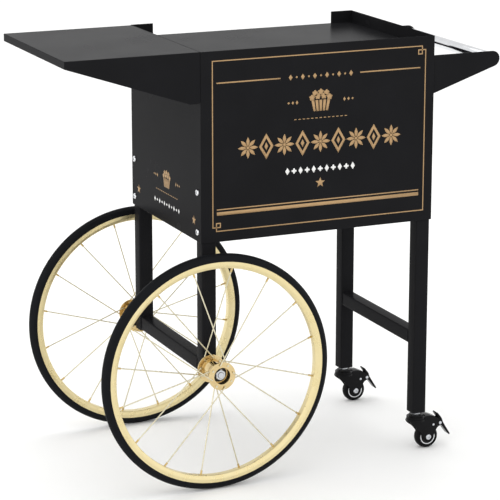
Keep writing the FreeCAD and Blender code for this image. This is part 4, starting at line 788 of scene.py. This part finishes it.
def band(outline, width):
    """Outer and inner line of a closed outline drawn with a pen of a width: each corner moves half
    the width along the mean of its two edges' normals, over one plus their product."""
    outline = np.array(outline, float)
    edge = np.roll(outline, -1, 0) - outline
    normal = np.stack([edge[:, 1], -edge[:, 0]], 1) / np.linalg.norm(edge, axis=1)[:, None]
    before = np.roll(normal, 1, 0)
    shift = (before + normal) / (1 + (before * normal).sum(1))[:, None] * width / 2
    return outline + shift, outline - shift


def print_on(name, shapes, panel, ink, film):
    """Flat printed shapes in millimetres, right and down from a panel's upper left corner.  Each is
    an outline, filled from its middle, or an outer and an inner line, filled between.  A point is
    at corner + x right - y up + film outward."""
    corner, right, outward = (np.array(part, float) for part in panel)
    points, faces, count = [], [], 0
    for shape in shapes:
        outer, inner = shape if isinstance(shape, tuple) else (shape, shape * 0 + shape.mean(0))
        flat = np.concatenate([outer, inner]) * MM
        points.append(corner + flat[:, :1] * right - flat[:, 1:] * (0, 0, 1) + film * outward)
        faces += quads(2, len(outer), False, count).tolist()
        count += len(flat)
    mesh = bpy.data.meshes.new(name)
    mesh.from_pydata(np.concatenate(points), [], faces)
    sheet = bmesh.new()
    sheet.from_mesh(mesh)
    bmesh.ops.remove_doubles(sheet, verts=sheet.verts, dist=1e-6)
    for face in sheet.faces:
        if face.normal.dot(Vector(outward)) < 0:
            face.normal_flip()
    sheet.to_mesh(mesh)
    sheet.free()
    piece = place(name, mesh, "cart", "gold_paint", material=finish(ink))
    # ink a little thicker than its stand-off, so that no gap shows behind it
    solid = piece.modifiers.new("Film", "SOLIDIFY")
    solid.thickness = 0.16 * MM
    solid.offset = -1


def front_face():
    """Upper left corner of the front panel, the way right along it, and the way outward."""
    low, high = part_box("front_panel")
    return (low.x, low.y, high.z), (1, 0, 0), (0, -1, 0)


def left_face():
    """The same for the left side panel, measured from the front panel's face."""
    low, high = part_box("left_side_panel")
    return (low.x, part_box("front_panel")[0].y, high.z), (0, 1, 0), (-1, 0, 0)


def knot_frame(left, top, right, bottom, knot, step):
    """Rectangle whose upper right and lower left corners are tied in a small square loop."""
    high, low = top + step, bottom - step
    far, near = right - step - knot, left + step + knot
    return [(left, top), (right - step, top), (right - step, high + knot), (far, high + knot),
            (far, high), (right, high), (right, bottom), (left + step, bottom),
            (left + step, low - knot), (near, low - knot), (near, low), (left, low)]


def popcorn_tub(x, top, height):
    """A striped tub with a heap of popcorn: five tapered stripes under puffs of five lobes."""
    puff = 0.19 * height
    heap = [(-1.75, 1.75), (-0.6, 1.5), (0.6, 1.5), (1.75, 1.75), (-1.15, 0.75), (0, 0.5), (1.15, 0.75)]
    shapes = [petal_ring(x + dx * puff * 1.25, top + (dy + 0.4) * puff, puff * 0.72, 5, 0.72)
              for dx, dy in heap]
    lip, foot = top + 0.52 * height, top + height
    upper, lower = 0.19 * height, 0.145 * height
    for stripe in (-2, -1, 0, 1, 2):
        shapes.append(np.array([
            (x + (stripe - 0.36) * upper, lip), (x + (stripe + 0.36) * upper, lip),
            (x + (stripe + 0.36) * lower, foot), (x + (stripe - 0.36) * lower, foot)]))
    return shapes


def dashes(middle, top, height):
    """Thirteen dashes of 5.2 mm, 9.2 mm apart, on one line."""
    spots = middle + 9.2 * np.arange(-6, 7)
    return [bar(x - 2.6, top, x + 2.6, top + height) for x in spots]


def side_marks(middle, reach, y):
    """Three lozenges on each side of a middle, from reach outwards, each less high than the last."""
    return [lozenge(middle + side * (reach + 9 * k), y, 5.5, 9.0 - 2 * k)
            for side in (-1, 1) for k in range(3)]


def front_print(sizes):
    """Front panel: knotted frame, header rules, popcorn tub, a frieze of rosettes and lozenges, a
    white row, a star and a double rule."""
    line = sizes.line_width / MM
    middle = 257.0
    gold = [band(knot_frame(24.5, 19.5, 489.5, 358, 8.4, 7.6), line)]
    gold += [bar(33, 61.7, 169, 64.3), bar(343, 61.7, 478, 64.3)]
    gold += [lozenge(middle + 13.2 * k, 63, *((8.5, 12.0) if k % 2 else (5.0, 5.0))) for k in range(-5, 6)]
    gold += popcorn_tub(middle, 88, 46) + side_marks(middle, 52, 114) + dashes(middle, 147, 1.6)
    gold += frieze(middle, 196, 354, 46, sizes.frieze_units)
    gold += [star(middle, 279.4, 11), bar(33, 313.6, 478.5, 315.9), bar(33, 319.5, 478.5, 326.5)]
    white = []
    for k in range(-5, 6):
        x = middle + 14.4 * k
        white.append(lozenge(x, 251, 9.5, 15) if k % 2 else petal_ring(x, 251, 5.6, 4, 0.45))
    print_on("front_gold_print", gold, front_face(), "gold_ink", sizes.ink_film)
    print_on("front_white_print", white, front_face(), "white_ink", sizes.ink_film)


def frieze(x, y, width, height, units):
    """Rosettes of eight leaves and pierced lozenges in turn."""
    shapes = []
    pitch = width / units
    reach = 0.26 * height
    for k in range(units):
        at = x + (k - (units - 1) / 2) * pitch
        if k % 2 == 0:
            shapes += [leaf(at + reach * cos(t), y + reach * sin(t), 0.42 * height, 0.15 * height, t)
                       for t in np.arange(8) * tau / 8]
            shapes.append(petal_ring(at, y, 0.07 * height, 4, 0.9))
        else:
            shapes.append(band(lozenge(at, y, 0.64 * pitch, 0.92 * height), 0.11 * height))
            shapes.append(lozenge(at, y, 0.2 * pitch, 0.36 * height))
    return shapes


def side_print(sizes):
    """Left side panel: a smaller tub between marks, a dashed rule, a white row, and a star in each
    lower corner."""
    middle = 182.0
    gold = popcorn_tub(middle, 267, 38) + side_marks(middle, 50, 288) + dashes(middle, 316, 1.8)
    gold += [star(x, 340, 10) for x in (38, 339)]
    white = [lozenge(middle + 13 * k, 340, 7.5, 11.0 if k % 2 else 6.0) for k in range(-5, 6)]
    print_on("side_gold_print", gold, left_face(), "gold_ink", sizes.ink_film)
    print_on("side_white_print", white, left_face(), "white_ink", sizes.ink_film)


# ---- carried-over pieces ----

def carried_finishes():
    """Every CAD node that stays takes the detailed finish of its slot."""
    for name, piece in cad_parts.items():
        if piece.hide_render:
            continue
        for holder in piece.material_slots:
            slot = holder.material.name.split(".")[0]
            made_of = "nipple_brass" if name.endswith("nipples") else slot
            holder.material = finish(made_of, name.split("_")[0])


# ---- add-on ----

def length(name, description, default_mm, least_mm=0.0):
    return bpy.props.FloatProperty(name=name, description=description, default=default_mm * MM,
                                   min=least_mm * MM, unit="LENGTH", subtype="DISTANCE")


def colour(name, description, text):
    return bpy.props.FloatVectorProperty(name=name, description=description, default=srgb(text)[:3],
                                         subtype="COLOR", size=3, min=0.0, max=1.0)


def level(name, description, default):
    return bpy.props.FloatProperty(name=name, description=description, default=default, min=0.0)


class CartSizes(bpy.types.PropertyGroup):
    """Sizes, colours and light levels that a user would change."""
    fold_radius: length("Fold radius", "Rounding of the folded sheet's outer edges", 1.1)
    tube_corner: length("Tube corner", "Corner radius of the square tubes", 3.2, 1.6)
    tube_wall: length("Tube wall", "Wall of the square tubes and of the handle tube", 1.5)
    weld_radius: length("Weld radius", "Radius of the weld beads", 1.8)
    rim_sheet: length("Rim sheet", "Thickness of the rims' rolled sheet", 1.5)
    groove_depth: length("Groove depth", "Depth of the grooves round the tyres", 0.6)
    bolt_head: length("Bolt head", "Height of the leg bolts' heads", 3.4)
    screw_head: length("Screw head", "Height of the handle and shelf screws' heads", 2.5)
    caster_head: length("Caster bolt head", "Height of the head of the bolt through a caster wheel", 2.6)
    caster_nut: length("Caster nut", "Height of the nut of the bolt through a caster wheel", 3.0)
    yoke_sheet: length("Yoke sheet", "Thickness of the caster yokes' pressed sheet", 2.6)
    line_width: length("Line width", "Width of the printed frame's line", 2.1)
    ink_film: length("Ink film", "How far the print stands off the panels", 0.15)
    frieze_units: bpy.props.IntProperty(
        name="Frieze units", description="Rosettes and lozenges in the front panel's frieze",
        default=9, min=1)
    coat_dark: colour("Coat, dark", "Darker colour of the powder coat", "#19191a")
    coat_light: colour("Coat, light", "Lighter colour of the powder coat", "#1f1f21")
    rim_dark: colour("Rims, dark", "Darker colour of the wheel rims' lacquer", "#d8c690")
    rim_light: colour("Rims, light", "Lighter colour of the wheel rims' lacquer", "#e6d8aa")
    gold_dark: colour("Gold ink, dark", "Darker colour of the gold print", "#a08058")
    gold_light: colour("Gold ink, light", "Lighter colour of the gold print", "#b7966b")
    floor_half: length("Floor", "Half the floor's side", 14000)
    room_light: level("Room light", "Strength of the light from all round", 1.3)
    wall_light: level("Wall light", "Strength of the light from the wall behind", 0.95)
    overhead_light: level("Overhead light", "Power of the overhead softbox in watts", 14.0)
    left_light: level("Left light", "Power of the upright strip light on the left in watts", 7.0)
    lens: level("Lens", "Focal length of the camera in millimetres", 162.95)


class CART_OT_stage(bpy.types.Operator):
    """Set the floor, lights and camera"""
    bl_idname = "cart.stage"
    bl_label = "Floor, Lights and Camera"

    def execute(self, context):
        studio_stage(context.scene.popcorn_cart)
        return {"FINISHED"}


class CART_OT_cabinet(bpy.types.Operator):
    """Give the cabinet's folded sheets rounded folds and their coat"""
    bl_idname = "cart.cabinet"
    bl_label = "Cabinet Panels"

    def execute(self, context):
        panels = ("front_panel", "left_side_panel", "right_side_panel", "tray_top", "floor_pan")
        folded_sheets(panels, context.scene.popcorn_cart)
        return {"FINISHED"}


class CART_OT_shelf(bpy.types.Operator):
    """Give the side shelf rounded folds and its coat"""
    bl_idname = "cart.shelf"
    bl_label = "Side Shelf"

    def execute(self, context):
        folded_sheets(["side_shelf"], context.scene.popcorn_cart)
        return {"FINISHED"}


class CART_OT_legs(bpy.types.Operator):
    """Make the square tubes of the legs and crossbars, with weld beads"""
    bl_idname = "cart.legs"
    bl_label = "Legs and Crossbars"

    def execute(self, context):
        leg_surfaces(context.scene.popcorn_cart)
        return {"FINISHED"}


class CART_OT_handle(bpy.types.Operator):
    """Make the handle's brackets and chrome tube"""
    bl_idname = "cart.handle"
    bl_label = "Push Handle"

    def execute(self, context):
        handle_surfaces(context.scene.popcorn_cart)
        return {"FINISHED"}


class CART_OT_doors(bpy.types.Operator):
    """Make the two doors, their knobs and their hinges' screws"""
    bl_idname = "cart.doors"
    bl_label = "Doors and Hinges"

    def execute(self, context):
        door_surfaces(context.scene.popcorn_cart)
        return {"FINISHED"}


class CART_OT_fasteners(bpy.types.Operator):
    """Make the domed bolts, screws and nuts"""
    bl_idname = "cart.fasteners"
    bl_label = "Bolts and Screws"

    def execute(self, context):
        fastener_surfaces(context.scene.popcorn_cart)
        return {"FINISHED"}


class CART_OT_wheels(bpy.types.Operator):
    """Make the tyres, rims and hubs of the two large wheels"""
    bl_idname = "cart.wheels"
    bl_label = "Spoked Wheels"

    def execute(self, context):
        wheel_surfaces(context.scene.popcorn_cart)
        return {"FINISHED"}


class CART_OT_axle(bpy.types.Operator):
    """Make the wheel axle with its washers and nuts"""
    bl_idname = "cart.axle"
    bl_label = "Axle and Nuts"

    def execute(self, context):
        axle_surfaces()
        return {"FINISHED"}


class CART_OT_casters(bpy.types.Operator):
    """Make the yokes, brake pedals, wheels and bolts of the casters"""
    bl_idname = "cart.casters"
    bl_label = "Casters"

    def execute(self, context):
        caster_surfaces(context.scene.popcorn_cart)
        return {"FINISHED"}


class CART_OT_front_print(bpy.types.Operator):
    """Print the front panel"""
    bl_idname = "cart.front_print"
    bl_label = "Front Print"

    def execute(self, context):
        front_print(context.scene.popcorn_cart)
        return {"FINISHED"}


class CART_OT_side_print(bpy.types.Operator):
    """Print the left side panel"""
    bl_idname = "cart.side_print"
    bl_label = "Side Print"

    def execute(self, context):
        side_print(context.scene.popcorn_cart)
        return {"FINISHED"}


class CART_OT_carried(bpy.types.Operator):
    """Finish the pieces that keep their CAD shape"""
    bl_idname = "cart.carried"
    bl_label = "Finishes of the Other Pieces"

    def execute(self, context):
        carried_finishes()
        return {"FINISHED"}


OPERATORS = (CART_OT_stage, CART_OT_cabinet, CART_OT_shelf, CART_OT_legs,
             CART_OT_handle, CART_OT_doors, CART_OT_fasteners, CART_OT_wheels,
             CART_OT_axle, CART_OT_casters, CART_OT_front_print, CART_OT_side_print,
             CART_OT_carried)


class CART_PT_build(bpy.types.Panel):
    """Lists every step of the cart's finish"""
    bl_label = "Popcorn Cart"
    bl_space_type = "VIEW_3D"
    bl_region_type = "UI"
    bl_category = "Popcorn Cart"

    def draw(self, context):
        for operator in OPERATORS:
            self.layout.operator(operator.bl_idname)
        sizes = context.scene.popcorn_cart
        for name in CartSizes.__annotations__:
            self.layout.prop(sizes, name)


CLASSES = (CartSizes, *OPERATORS, CART_PT_build)


def register():
    for item in CLASSES:
        bpy.utils.register_class(item)
    bpy.types.Scene.popcorn_cart = bpy.props.PointerProperty(type=CartSizes)


def unregister():
    del bpy.types.Scene.popcorn_cart
    for item in reversed(CLASSES):
        bpy.utils.unregister_class(item)


def main():
    register()
    for operator in OPERATORS:
        group, name = operator.bl_idname.split(".")
        getattr(getattr(bpy.ops, group), name)()


if __name__ == "__main__":
    main()
